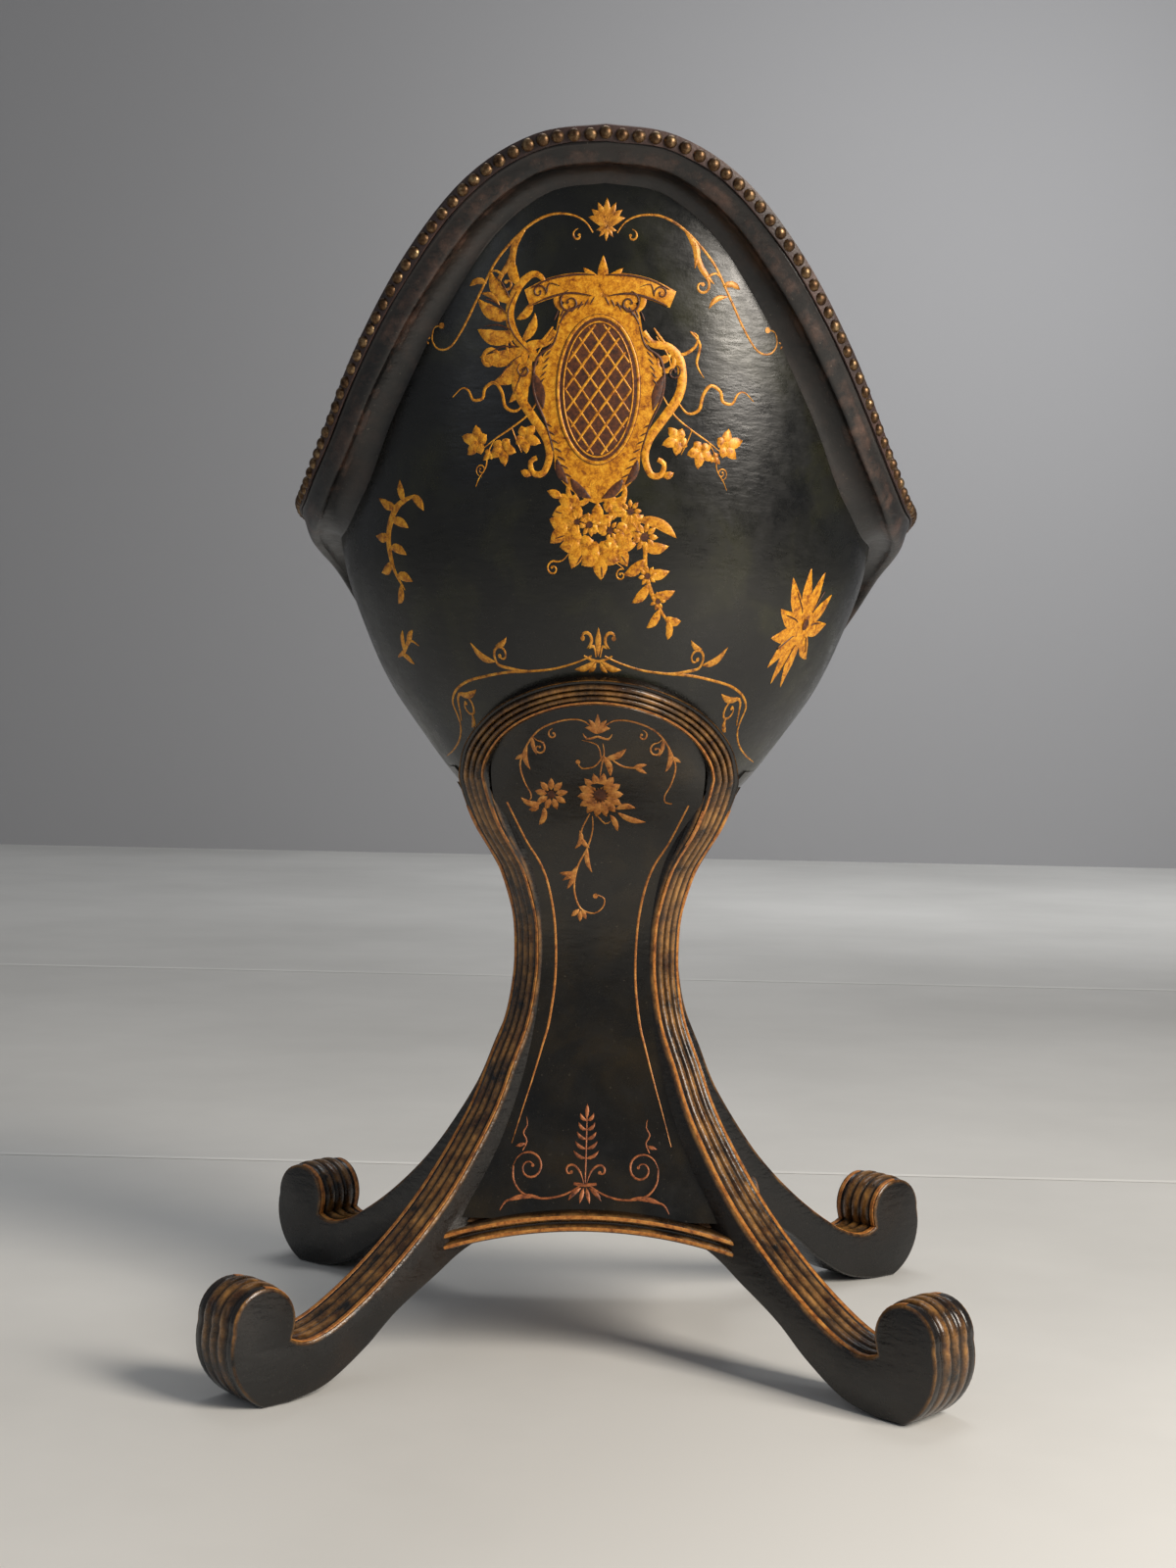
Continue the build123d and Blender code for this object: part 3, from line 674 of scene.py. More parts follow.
leg = {
    "top": 456, "reach": 357, "inner": 40,
    # heading in degrees, and how far the foot is stretched in mm
    "places": {"back_right": (-41, 0), "back_left": (221, 0), "front_right": (40, 9), "front_left": (140, 9)},
    "edge": ((0.375, 1), (0.328, 0.923), (0.263, 0.851), (0.223, 0.768), (0.214, 0.702),
             (0.218, 0.647), (0.238, 0.579), (0.280, 0.509), (0.339, 0.417), (0.457, 0.294),
             (0.591, 0.195), (0.723, 0.123), (0.805, 0.099), (0.849, 0.105)),
    "crown": (0.922, 0.198), "side": (1, 0.130), "toe": (0.985, 0.046),
    "floorOuter": (0.920, 0), "floorInner": (0.855, 0),
    "under": ((0.765, 0.016), (0.669, 0.061), (0.588, 0.112), (0.487, 0.160), (0.406, 0.197), (0.290, 0.226)),
    "tapers": (0.224, 0.42, 0.67, 0.84, 1.06), "halves": (17, 21, 23, 25, 27.5),
    "arris": 3.5, "arrisShare": 0.8, "clear": 0.9, "columns": 67, "gather": 0.85, "step": 5,
    "rollSteps": 22, "toeSteps": 12,
    "lineStart": 5, "lineEnd": 0.93,  # the gilt lines stop a little before the roll
}

reeds = {
    # from the middle out: place across, depth below the crest in mm, how far it is rubbed
    "section": ((0, 0, 1.0), (0.12, 0.5, 0.7), (0.21, 2.4, 0.0), (0.30, 0.6, 0.5), (0.43, 0.1, 1.0),
                (0.56, 0.8, 0.5), (0.65, 2.6, 0.0), (0.72, 1.9, 0.05), (0.91, 1.7, 0.1), (0.96, 1.1, 0.9),
                (1.0, 2.2, 0.0)),
    # the gilt line: place across, and lift above the reed in mm
    "line": ((0.72, -0.5), (0.75, 0.35), (0.88, 0.35), (0.91, -0.5)),
}


def legAt(shares, stretch):
    out, up = shares
    knee = leg["tapers"][0]
    share = max((out - knee) / (leg["floorOuter"][0] - knee), 0)
    return Vector((leg["reach"] * out + stretch * share, leg["top"] * up))


def legHalf(out):
    share = out / leg["reach"]
    tapers, halves = leg["tapers"], leg["halves"]
    for k in range(1, len(tapers)):
        if share <= tapers[k]:
            t = max((share - tapers[k - 1]) / (tapers[k] - tapers[k - 1]), 0)
            return halves[k - 1] + (halves[k] - halves[k - 1]) * t
    return halves[-1]


def legOutline(stretch, tubAngle):
    # (point, reed share) all the way round the plank
    edgePoints, under = [[legAt(s, stretch) for s in leg[name]] for name in ("edge", "under")]
    crown, side, toeEnd, floorOuter, floorInner = [
        legAt(leg[name], stretch) for name in ("crown", "side", "toe", "floorOuter", "floorInner")]
    reeded = throughPoints(edgePoints, leg["step"])
    roll = arcThrough(reeded[-1], crown, side, leg["rollSteps"])[1:]
    toe = arcThrough(side, toeEnd, floorOuter, leg["toeSteps"])[1:]
    under = throughPoints([floorInner] + under, leg["step"])
    bottom = tub["bottom"]
    plain = under + [Vector((leg["inner"], under[-1][1])), Vector((leg["inner"], bottom))]
    plain += [Vector((reach(tubAngle, z) + leg["clear"], z)) for z in (bottom, (leg["top"] + bottom) / 2)]
    return ([(p, 1.0) for p in reeded + roll] + [(p, 1 - (k + 1) / len(toe)) for k, p in enumerate(toe)]
            + [(p, 0.0) for p in plain])


def reedDepth(s):
    places, depths, _ = zip(*reeds["section"])
    return smoothValue(places, depths, abs(s))


def reedRub(s):
    places, _, rubs = zip(*reeds["section"])
    return max(0.0, smoothValue(places, rubs, abs(s)))


def outlineNormals(points):
    # inward normals of a closed outline
    normals = []
    for k in range(len(points)):
        ahead = points[(k + 1) % len(points)] - points[k]
        behind = points[k] - points[k - 1]
        way = (ahead.normalized() + behind.normalized()).normalized()
        normals.append(Vector((way[1], -way[0])))
    area = sum(a[0] * b[1] - b[0] * a[1] for a, b in zip([points[-1]] + points, points))
    return normals if area < 0 else [-n for n in normals]


def legFrame(place):
    # the plank's outward and sideways directions, and its outline with inward normals
    heading, stretch = leg["places"][place]
    turn = math.radians(heading)
    outward = Vector((math.cos(turn), math.sin(turn), 0))
    outline = legOutline(stretch, heading + 90)
    return outward, Vector((-outward[1], outward[0], 0)), outline, outlineNormals([p for p, _ in outline])


def makeLeg(place):
    outward, sideways, outline, normals = legFrame(place)
    arris = leg["arris"]
    verts, marks = [], []
    for s in evenly(-1, 1, leg["columns"]):
        s = math.copysign(abs(s) ** leg["gather"], s)
        toArris = max(arris - (1 - abs(s)) * leg["halves"][0], 0)
        rounding = (arris - math.sqrt(arris ** 2 - toArris ** 2)) * leg["arrisShare"]
        for (point, reeded), inward in zip(outline, normals):
            spot = point + inward * (reedDepth(s) * reeded + rounding)
            across = sideways * s * legHalf(point[0])
            verts.append(outward * spot[0] + across + Vector((0, 0, max(spot[1], 0.0))))
            marks.append(reeded * reedRub(s))
    count = len(outline)
    faces = gridFaces(leg["columns"], count, False) + endCaps(0, count, len(verts))
    piece = finishMesh("leg_" + place + "_reeded", verts, faces, reedLacquer,
                       {"wear": marks}, sharp=50)
    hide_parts("leg_" + place)
    makeLegLine(place, outward, sideways, outline, normals)


def makeLegLine(place, outward, sideways, outline, normals):
    # a gilt line down each side of the reeded edge, next to the cheek
    last = max(k for k, (_, reeded) in enumerate(outline) if reeded == 1.0)
    for sideName, sign in (("left", -1), ("right", 1)):
        rows = []
        for k in range(leg["lineStart"], round(last * leg["lineEnd"])):
            point, inward = outline[k][0], normals[k]
            over = max(0.0, 1 - k * leg["step"] / arch["run"]) ** 0.5 * (arch["proud"] + arch["overLine"])
            row = []
            for s, lift in reeds["line"]:
                spot = point + inward * (reedDepth(s) - lift - over)
                across = sideways * (sign * s * legHalf(point[0]))
                row.append(outward * spot[0] + across + Vector((0, 0, spot[1])))
            rows.append(row)
        gridPiece("legLine_" + place + "_" + sideName, rows, giltDull)


# Reeded arches over the pedestal, laid on the tub

arch = {
    "half": 10.5, "springHalf": 17, "height": 10, "springHeight": 20,
    # span, level and rise in mm, then the half path and how far it has grown into the leg
    "back": (90, 456, 74, ((0.955, 0), (1, 0.19), (0.99, 0.39), (0.88, 0.60), (0.71, 0.77), (0.50, 0.89),
                           (0.26, 0.97), (0, 1)), (1, 0.5, 0.15, 0, 0, 0, 0, 0)),
    "front": (96, 452, 11, ((0.93, 0.1), (0.88, 0.3), (0.78, 0.45), (0.52, 0.78), (0.26, 0.95), (0, 1)),
              (1, 0.5, 0.1, 0, 0, 0)),
    "run": 120, "skip": 4, "proud": 0.9, "sink": 2.8,  # how it runs down over the leg and dies into it
    "columns": 49, "smoothing": 6, "step": 0.045, "overLine": 0.5,
}


def facePoint(side, across, height):
    # a point on the tub seen square on from its back or its front
    halfWidth, halfBack, halfFront = halfSizes(height)
    depth = -halfBack if side == "back" else halfFront
    return Vector((across, depth * math.sqrt(1 - (across / halfWidth) ** 2), height))


def faceNormal(side, across, height):
    step = 0.3
    level = facePoint(side, across + step, height) - facePoint(side, across - step, height)
    rise = facePoint(side, across, height + step) - facePoint(side, across, height - step)
    normal = level.cross(rise).normalized()
    middle = facePoint(side, across, height)
    return normal if normal.dot(Vector((middle[0], middle[1], 0))) > 0 else -normal


def archStations(side, span, level, rise, path, growth):
    # (point, sideways, outward, growth) along the arch, end to end
    left = [Vector((-across, up, g)) for (across, up), g in zip(path, growth)]
    right = [Vector((-p[0], p[1], p[2])) for p in left[-2::-1]]
    route = throughPoints(left + right, arch["step"])
    places = [(span * p[0], level + rise * p[1]) for p in route]
    points = [facePoint(side, *place) for place in places]
    stations = []
    for k, (across, height) in enumerate(places):
        along = (points[min(k + 1, len(points) - 1)] - points[max(k - 1, 0)]).normalized()
        normal = faceNormal(side, across, height)
        g = min(max(route[k][2], 0), 1)
        if g > 0:
            levelOut = Vector((normal[0], normal[1], 0)).normalized()
            normal = (normal * (1 - g) + levelOut * g).normalized()
            upward = Vector((0, 0, 1 if k < len(points) / 2 else -1))
            along = (along * (1 - g) + upward * g).normalized()
        sideways = along.cross(normal).normalized()
        outward = sideways.cross(along).normalized()
        stations.append((points[k], sideways, -outward if outward.dot(normal) < 0 else outward, g))
    if stations[len(stations) // 2][1][2] > 0:
        stations = [(p, -s, o, g) for p, s, o, g in stations]
    return stations


def legStations(place):
    # the same kind of stations along the upper edge of a leg, from its top down
    outward, sideways, outline, normals = legFrame(place)
    inner = sideways if sideways[0] * outward[0] < 0 else -sideways
    stations = []
    count = round(arch["run"] / leg["step"])
    for k in range(arch["skip"], count):
        point, normal = outline[k][0], normals[k]
        facing = -(outward * normal[0] + Vector((0, 0, normal[1])))
        lift = arch["proud"] - (arch["proud"] + arch["sink"]) * eased(2 * k / count - 1)
        spot = outward * point[0] + Vector((0, 0, point[1])) + facing * (lift - arch["springHeight"])
        stations.append((spot, inner, facing, 1.0))
    return stations


def evened(stations):
    # rounds off the turn from the leg into the arch
    for _ in range(arch["smoothing"]):
        kept = [stations[0]]
        for before, here, after in zip(stations, stations[1:], stations[2:]):
            kept.append(tuple((b + 2 * h + a) / 4 for b, h, a in zip(before, here, after)))
        stations = kept + [stations[-1]]
    return [(p, s.normalized(), o.normalized(), g) for p, s, o, g in stations]


def makeArch(side):
    over = archStations(side, *arch[side])
    stations = evened(legStations(side + "_left")[::-1] + over[1:-1] + legStations(side + "_right"))
    columns = evenly(-1, 1, arch["columns"])
    rows, lineRows = [], []
    for point, sideways, outward, g in stations:
        half = arch["half"] + (arch["springHalf"] - arch["half"]) * g
        height = arch["height"] + (arch["springHeight"] - arch["height"]) * g

        def spot(s, up):
            return point + sideways * (s * half) + outward * (height - reedDepth(s) + up)

        low = [point + sideways * half * s - outward for s in (-1, 1)]
        rows.append([low[0]] + [spot(s, 0) for s in columns] + [low[1]])
        lineRows.append([spot(s, up) for s, up in reeds["line"]])
    marks = ([0.0] + [reedRub(s) for s in columns] + [0.0]) * len(rows)
    piece = gridPiece("arch_" + side + "_reeded", rows, reedLacquer,
                      marks={"wear": marks}, sharp=60)
    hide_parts("arch_" + side)
    gridPiece("archLine_" + side, lineRows, giltDull)


for place in leg["places"]:
    makeLeg(place)
print("legs made")
makeArch("back")
makeArch("front")


# Pedestal faces between the legs, hollowed in height

face = {
    "bottom": 112, "top": 432, "levels": (0, 0.15, 0.34, 0.525, 0.71, 0.90, 1),
    "backs": (1, 0.780, 0.610, 0.525, 0.508, 0.602, 0.763), "halfBack": 118,
    "sides": (1, 0.777, 0.608, 0.523, 0.508, 0.592, 0.715), "halfSide": 130,
    "thickness": 8, "lean": math.radians(41), "start": 4, "rows": 81, "columns": 25,
    "fairBack": 62, "fairElse": 34, "skin": 0.5, "narrowing": 0.3, "tuck": 2.5, "softening": 18,
    "archLevels": (432, 456, 470, 485, 500, 511, 520), "archHalves": (80, 83, 83, 80, 70, 56, 34),
}


def faceDepth(side, height):
    share = (height - face["bottom"]) / (face["top"] - face["bottom"])
    if side in ("back", "front"):
        return face["halfBack"] * smoothValue(face["levels"], face["backs"], share)
    return face["halfSide"] * smoothValue(face["levels"], face["sides"], share)


def sideFrame(side):
    # outward and rightward directions as seen from that side
    outward = {"back": Vector((0, -1, 0)), "front": Vector((0, 1, 0)),
               "left": Vector((-1, 0, 0)), "right": Vector((1, 0, 0))}[side]
    return outward, Vector((-outward[1], outward[0], 0))


def bowlDepth(side, across, height):
    # how far the tub stands out at that place, seen square on from the side
    halfWidth, halfBack, halfFront = halfSizes(height)
    if side in ("back", "front"):
        depth, width = (halfBack if side == "back" else halfFront), halfWidth
    else:
        depth, width = halfWidth, min(halfBack, halfFront)
    return depth, depth * math.sqrt(max(0.0, 1 - (across / width) ** 2))


def panelDepth(side, across, height):
    # flat across below the tub, fairing into the bowl above it
    if height <= face["top"]:
        return faceDepth(side, height)
    blend = eased((height - face["top"]) / (face["fairBack"] if side == "back" else face["fairElse"]))
    middle, bowl = bowlDepth(side, across, height)
    return middle + (bowl + face["skin"] - middle) * blend


def panelPoint(side, across, height, lift=0.0):
    # the turn into the bowl is softened over a short height
    outward, rightward = sideFrame(side)
    near = [panelDepth(side, across, height + face["softening"] * k / 3) for k in range(-3, 4)]
    return outward * (sum(near) / len(near) + lift) + rightward * across + Vector((0, 0, height))


def panelHalf(side, height):
    # to a tuck past the cheek of the leg, so that the reeded edge stays clear
    if side == "back" and height > face["top"]:
        return smoothValue(face["archLevels"], face["archHalves"], height)
    over = max(height - face["top"], 0)
    depth, lean = faceDepth(side, height - over), face["lean"]
    if side in ("back", "front"):
        half = depth / math.tan(lean) - leg["halves"][0] / math.sin(lean)
    else:
        half = depth * math.tan(lean) - leg["halves"][0] / math.cos(lean)
    return half + face["tuck"] - over * face["narrowing"]


def makePanel(side):
    rows = []
    high = face["archLevels"][-1] if side == "back" else face["top"] + face["fairElse"]
    shares = evenly(-1, 1, face["columns"])
    for height in evenly(face["bottom"] + face["start"], high, face["rows"]):
        half = panelHalf(side, height)
        rows.append([panelPoint(side, half * s, height) for s in shares]
                    + [panelPoint(side, half * s, height, -face["thickness"]) for s in shares[::-4]])
    piece = gridPiece("panel_" + side + "_hollowed", rows, panelLacquer, sharp=50)
    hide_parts("panel_" + side)


for side in sides:
    makePanel(side)


# Aprons: arched rails under the faces, with two gilt beads

apron = {
    "crown": 124, "endDrop": 24, "height": 15, "thickness": 22, "proud": 7, "stations": 48,
    # place down from the top edge as a share, and set back from the face in mm
    "section": ((0, 3.2), (0.06, 1.2), (0.16, 0.2), (0.28, 0.0), (0.36, 0.8), (0.42, 3.0), (0.52, 3.6),
                (0.60, 3.0), (0.66, 0.9), (0.76, 0.1), (0.88, 0.5), (0.97, 1.6), (1.0, 3.4)),
    "beads": {"upper": (0.12, 0.29), "lower": (0.72, 0.90)}, "beadLift": 0.3, "beadSink": 0.8,
    "crestWear": 0.9, "wearLoss": 0.25,
}


def makeApron(side):
    outward, rightward = sideFrame(side)
    across, distance = face["halfBack"], face["halfSide"] + apron["proud"]
    if side in ("back", "front"):
        across, distance = face["halfSide"], face["halfBack"] + apron["proud"]
    ends = apron["crown"] - apron["endDrop"]
    path = arcThrough((-across, ends), (0, apron["crown"]), (across, ends), apron["stations"])
    places, backs = zip(*apron["section"])

    def spot(p, share, back):
        return outward * (distance - back) + rightward * p[0] + Vector((0, 0, p[1] - apron["height"] * share))

    def onBead(p, share, lift):
        return spot(p, share, smoothValue(places, backs, share) - lift)

    closing = ((1, apron["thickness"]), (0, apron["thickness"]))
    rows = [[spot(p, *place) for place in apron["section"] + closing] for p in path]
    marks = ([apron["crestWear"] - apron["wearLoss"] * back for back in backs] + [0, 0]) * len(path)
    piece = gridPiece("apron_" + side + "_moulded", rows, reedLacquer,
                      marks={"wear": marks}, sharp=50)
    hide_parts("apron_" + side)
    for bead, (low, high) in apron["beads"].items():
        lineRows = [[onBead(p, s, apron["beadLift"]) for s in evenly(low, high, 5)]
                    + [onBead(p, s, -apron["beadSink"]) for s in (high, low)] for p in path[2:-2]]
        gridPiece("apronLine_" + side + "_" + bead, lineRows, giltDull)


for side in sides:
    makeApron(side)
print("arches, faces and aprons made")


# Gilding. Each motif is a set of low strokes laid on the lacquer: tubAt takes millimetres
# round the tub and the height; faceAt takes millimetres across a pedestal face and the height.

gilding = {
    "girth": 220, "lift": 0.35, "sink": -0.25, "step": 2.5, "shoulder": 0.55,
    "startTaper": 0.25, "endTaper": 0.35, "ringSpacing": 6, "frameShift": -3, "footShift": -4,
    "discPoints": 16, "turnPoints": 14, "windIn": 0.85, "eyeSize": 0.62,
    # shares of the motif's own size, and the turn between lobes in degrees
    "petal": {"start": 0.28, "width": 0.50},
    "lobe": {"turn": 62, "middle": 1.0, "next": 0.86, "outer": 0.6, "width": 0.72},
    "palm": {"fall": 0.28, "width": 0.34, "bend": 0.10},
}


def tubAt(across, height, lift=0.0):
    angle = math.degrees(across / gilding["girth"])
    step = 0.5
    spot = polar(angle, reach(angle, height), height)
    level = polar(angle + step, reach(angle + step, height), height) - spot
    rise = polar(angle, reach(angle, height + step), height + step) - spot
    return spot + level.cross(rise).normalized() * lift


def frameAt(across, height, lift=0.0):
    return tubAt(across + gilding["frameShift"], height, lift)


def faceAt(across, height, lift=0.0):
    return panelPoint("back", across, height, lift)


def footAt(across, height, lift=0.0):
    return faceAt(across + gilding["footShift"], height, lift)


class Gilder:
    # collects strokes and leaves of one finish into one mesh
    def __init__(self, at, mirror=False):
        self.at = at
        self.signs = (1, -1) if mirror else (1,)
        self.verts = []
        self.faces = []

    def skin(self, rows, sign):
        # rows of points on one side; returns the number of the first
        first = len(self.verts)
        self.verts += [self.at(sign * x, z, lift) for row in rows for x, z, lift in row]
        self.faces += gridFaces(len(rows), len(rows[0]), False, first)
        return first

    def lay(self, rows):
        count = len(rows[0])
        for sign in self.signs:
            first = self.skin(rows, sign)
            last = len(self.verts) - count
            self.faces += [tuple(range(start, start + count)) for start in (first, last)]

    def stroke(self, points, width, start, end, swell=0.0, extra=0.0):
        # width in mm; start and end are shares of it at the two ends
        line = throughPoints(points, gilding["step"])
        section = ((-1, gilding["sink"]), (-gilding["shoulder"], gilding["lift"]),
                   (gilding["shoulder"], gilding["lift"]), (1, gilding["sink"]))
        rows = []
        for k, p in enumerate(line):
            t = k / (len(line) - 1)
            ahead = line[min(k + 1, len(line) - 1)] - line[max(k - 1, 0)]
            side = Vector((-ahead[1], ahead[0])).normalized()
            share = min(start + (1 - start) * min(1, t / gilding["startTaper"]),
                        end + (1 - end) * min(1, (1 - t) / gilding["endTaper"]))
            half = width / 2 * (share + swell * math.sin(math.pi * t))
            rows.append([(p[0] + side[0] * half * s, p[1] + side[1] * half * s, lift + extra)
                         for s, lift in section])
        self.lay(rows)

    def leaf(self, base, tip, width, bend=0.0, extra=0.0):
        # pointed leaf from base to tip, bowed sideways by bend
        base, tip = Vector(base), Vector(tip)
        way = tip - base
        side = Vector((-way[1], way[0])).normalized()
        points = [base + way * t + side * bend * math.sin(math.pi * t) for t in evenly(0, 1, 5)]
        self.stroke(points, width / 2, 0.25, 0.02, 0.9, extra)

    def leaves(self, *rows):
        for row in rows:
            self.leaf(*row)

    def scroll(self, centre, radius, startTurn, turns, width, hand=1, eye=0.22, lead=(), extra=0.0):
        # a stroke that winds in to a round eye; lead are points before it
        points = list(lead)
        count = max(8, round(abs(turns) * gilding["turnPoints"]))
        for k in range(count + 1):
            t = k / count
            turn = math.radians(startTurn) + hand * 2 * math.pi * turns * t
            points.append(around(centre, turn, radius * (1 - (1 - eye) * t ** gilding["windIn"])))
        self.stroke(points, width, 0.3, 0.55, 0.0, extra)
        self.disc(points[-1], width * gilding["eyeSize"], extra)

    def disc(self, centre, radius, extra=0.0):
        self.fill(centre, lambda turn: radius, extra, gilding["discPoints"])

    def fill(self, centre, radiusAt, extra, count):
        # a filled shape, seen from its middle
        turns = [2 * math.pi * k / count for k in range(count)]
        radii = [radiusAt(turn) for turn in turns]
        ringCount = max(2, math.ceil(max(radii) / gilding["ringSpacing"]))
        rings = [[(*around(centre, turn, radius * ring / ringCount), gilding["lift"] + extra)
                  for turn, radius in zip(turns, radii)] for ring in range(1, ringCount + 1)]
        rings.append([(x, z, gilding["sink"] + extra) for x, z, _ in rings[-1]])
        for sign in self.signs:
            first = self.skin(rings, sign)
            hub = len(self.verts)
            self.verts.append(self.at(sign * centre[0], centre[1], gilding["lift"] + extra))
            self.faces += [(first + k, first + (k + 1) % count, hub) for k in range(count)]
            self.faces.append(tuple(range(hub - count, hub)))

    def flower(self, centre, radius, petals, turn=0.0):
        petal = gilding["petal"]
        for k in range(petals):
            way = math.radians(turn) + 2 * math.pi * k / petals
            start, tip = around(centre, way, radius * petal["start"]), around(centre, way, radius)
            self.leaf(start, tip, radius * petal["width"])

    def lobedLeaf(self, centre, radius, heading, lobes=5):
        # vine leaf: lobes fanned round the stalk
        lobe = gilding["lobe"]
        for k in range(lobes):
            way = math.radians(heading + lobe["turn"] * (k - (lobes - 1) / 2))
            kind = "middle" if k == lobes // 2 else "next" if k in (1, lobes - 2) else "outer"
            self.leaf(centre, around(centre, way, radius * lobe[kind]), radius * lobe["width"])

    def palmette(self, centre, size, count, heading, spread):
        palm = gilding["palm"]
        for share in evenly(-1, 1, count):
            way = math.radians(heading + share * spread / 2)
            tip = around(centre, way, size * (1 - palm["fall"] * abs(share)))
            self.leaf(centre, tip, size * palm["width"], -share * size * palm["bend"])

    def done(self, name, material):
        finishMesh(name, self.verts, self.faces, material, sharp=75)


# Borders on the tub, the same on both sides

def gildTubBorders():
    gold = Gilder(tubAt, mirror=True)
    gold.stroke([(9, 857), (15, 865), (26, 870), (42, 870), (60, 861), (82, 840), (97, 815), (110, 793),
                 (122, 779), (133, 778), (139, 785), (137, 794), (130, 795)], 2.4, 0.5, 0.5)
    gold.disc((130, 795), 2.2)
    gold.scroll((20, 855), 5, 90, 0.8, 1.8, hand=-1)
    gold.leaves(((60, 860), (68, 834), 7, 5), ((68, 853), (84, 824), 6, -4))
    gold.scroll((74, 822), 7, 60, 1.0, 2.4, hand=-1, lead=[(91, 826), (85, 832)])
    gold.leaves(((91, 823), (105, 822), 6, 3), ((95, 816), (80, 806), 5, -3))
    gold.flower((145, 786), 4.5, 5, 20)
    gold.stroke([(148, 782), (168, 758), (200, 724), (236, 692)], 2.0, 0.8, 0.6)
    gold.leaves(((236, 692), (252, 684), 6, 3), ((238, 691), (240, 675), 6, -2))
    gold.scroll((256, 676), 7, 120, 0.9, 2.0, hand=-1)
    gold.stroke([(6, 553), (20, 548), (42, 543), (66, 541), (90, 540), (114, 537), (138, 533), (158, 526),
                 (170, 517), (172, 507), (178, 497), (196, 487), (226, 479), (262, 474)], 2.3, 0.6, 0.3)
    gold.scroll((92, 553), 9, -60, 1.1, 2.6, lead=[(50, 542), (70, 541), (86, 543)])
    gold.leaves(((100, 548), (122, 562), 7, -4), ((96, 560), (84, 566), 5, 2))
    gold.scroll((150, 514), 12, 10, 1.2, 2.6, lead=[(170, 503), (166, 508)])
    gold.leaves(((156, 524), (130, 527), 6, 3), ((148, 508), (158, 498), 5, -2))
    gold.scroll((12, 566), 8, -110, 0.7, 3.0, hand=-1, lead=[(2, 552), (4, 560)])
    gold.leaves(((3, 549), (22, 543), 6, -2), ((2, 548), (9, 541), 5, -1))
    gold.done("tubBorderGilding", giltBorder)
    middle = Gilder(tubAt)
    middle.palmette((1, 860), 22, 7, 90, 120)
    middle.palmette((1, 864), 13, 5, 270, 110)
    middle.leaf((0, 553), (0, 574), 6)
    middle.stroke([(-13, 553), (-6, 550), (0, 549), (6, 550), (13, 553)], 2.6, 0.5, 0.5)
    middle.done("tubBorderPalmettes", giltBorder)


# The middle of the back: a strapwork frame round a plain trellis medallion. The places in it
# are measured from the middle of the medallion.

medallion = {
    "height": 745, "halfWidth": 27, "halfHeight": 49, "groundRim": 5.2, "pitch": 12.5, "slope": 1.35,
    "outline": ((0, 72), (16, 71), (27, 62), (31, 50), (33, 40), (38, 30), (45, 20), (49, 8), (48, -6),
                (42, -20), (36, -34), (33, -46), (33, -56), (27, -66), (14, -76), (0, -82)),
}


def upBy(*places):
    return [(x, z + medallion["height"]) for x, z in places]


def ovalRadius(halfWidth, halfHeight):
    return lambda turn: 1 / math.hypot(math.cos(turn) / halfWidth, math.sin(turn) / halfHeight)


def insideOval(x, z, margin):
    wide, high = medallion["halfWidth"] - margin, medallion["halfHeight"] - margin
    return (x / wide) ** 2 + (z / high) ** 2 < 1


def frameRadius(turn):
    turns = [math.atan2(z, x) for x, z in medallion["outline"]]
    radii = [math.hypot(x, z) for x, z in medallion["outline"]]
    return smoothValue(turns[::-1], radii[::-1], math.atan2(math.sin(turn), abs(math.cos(turn))))


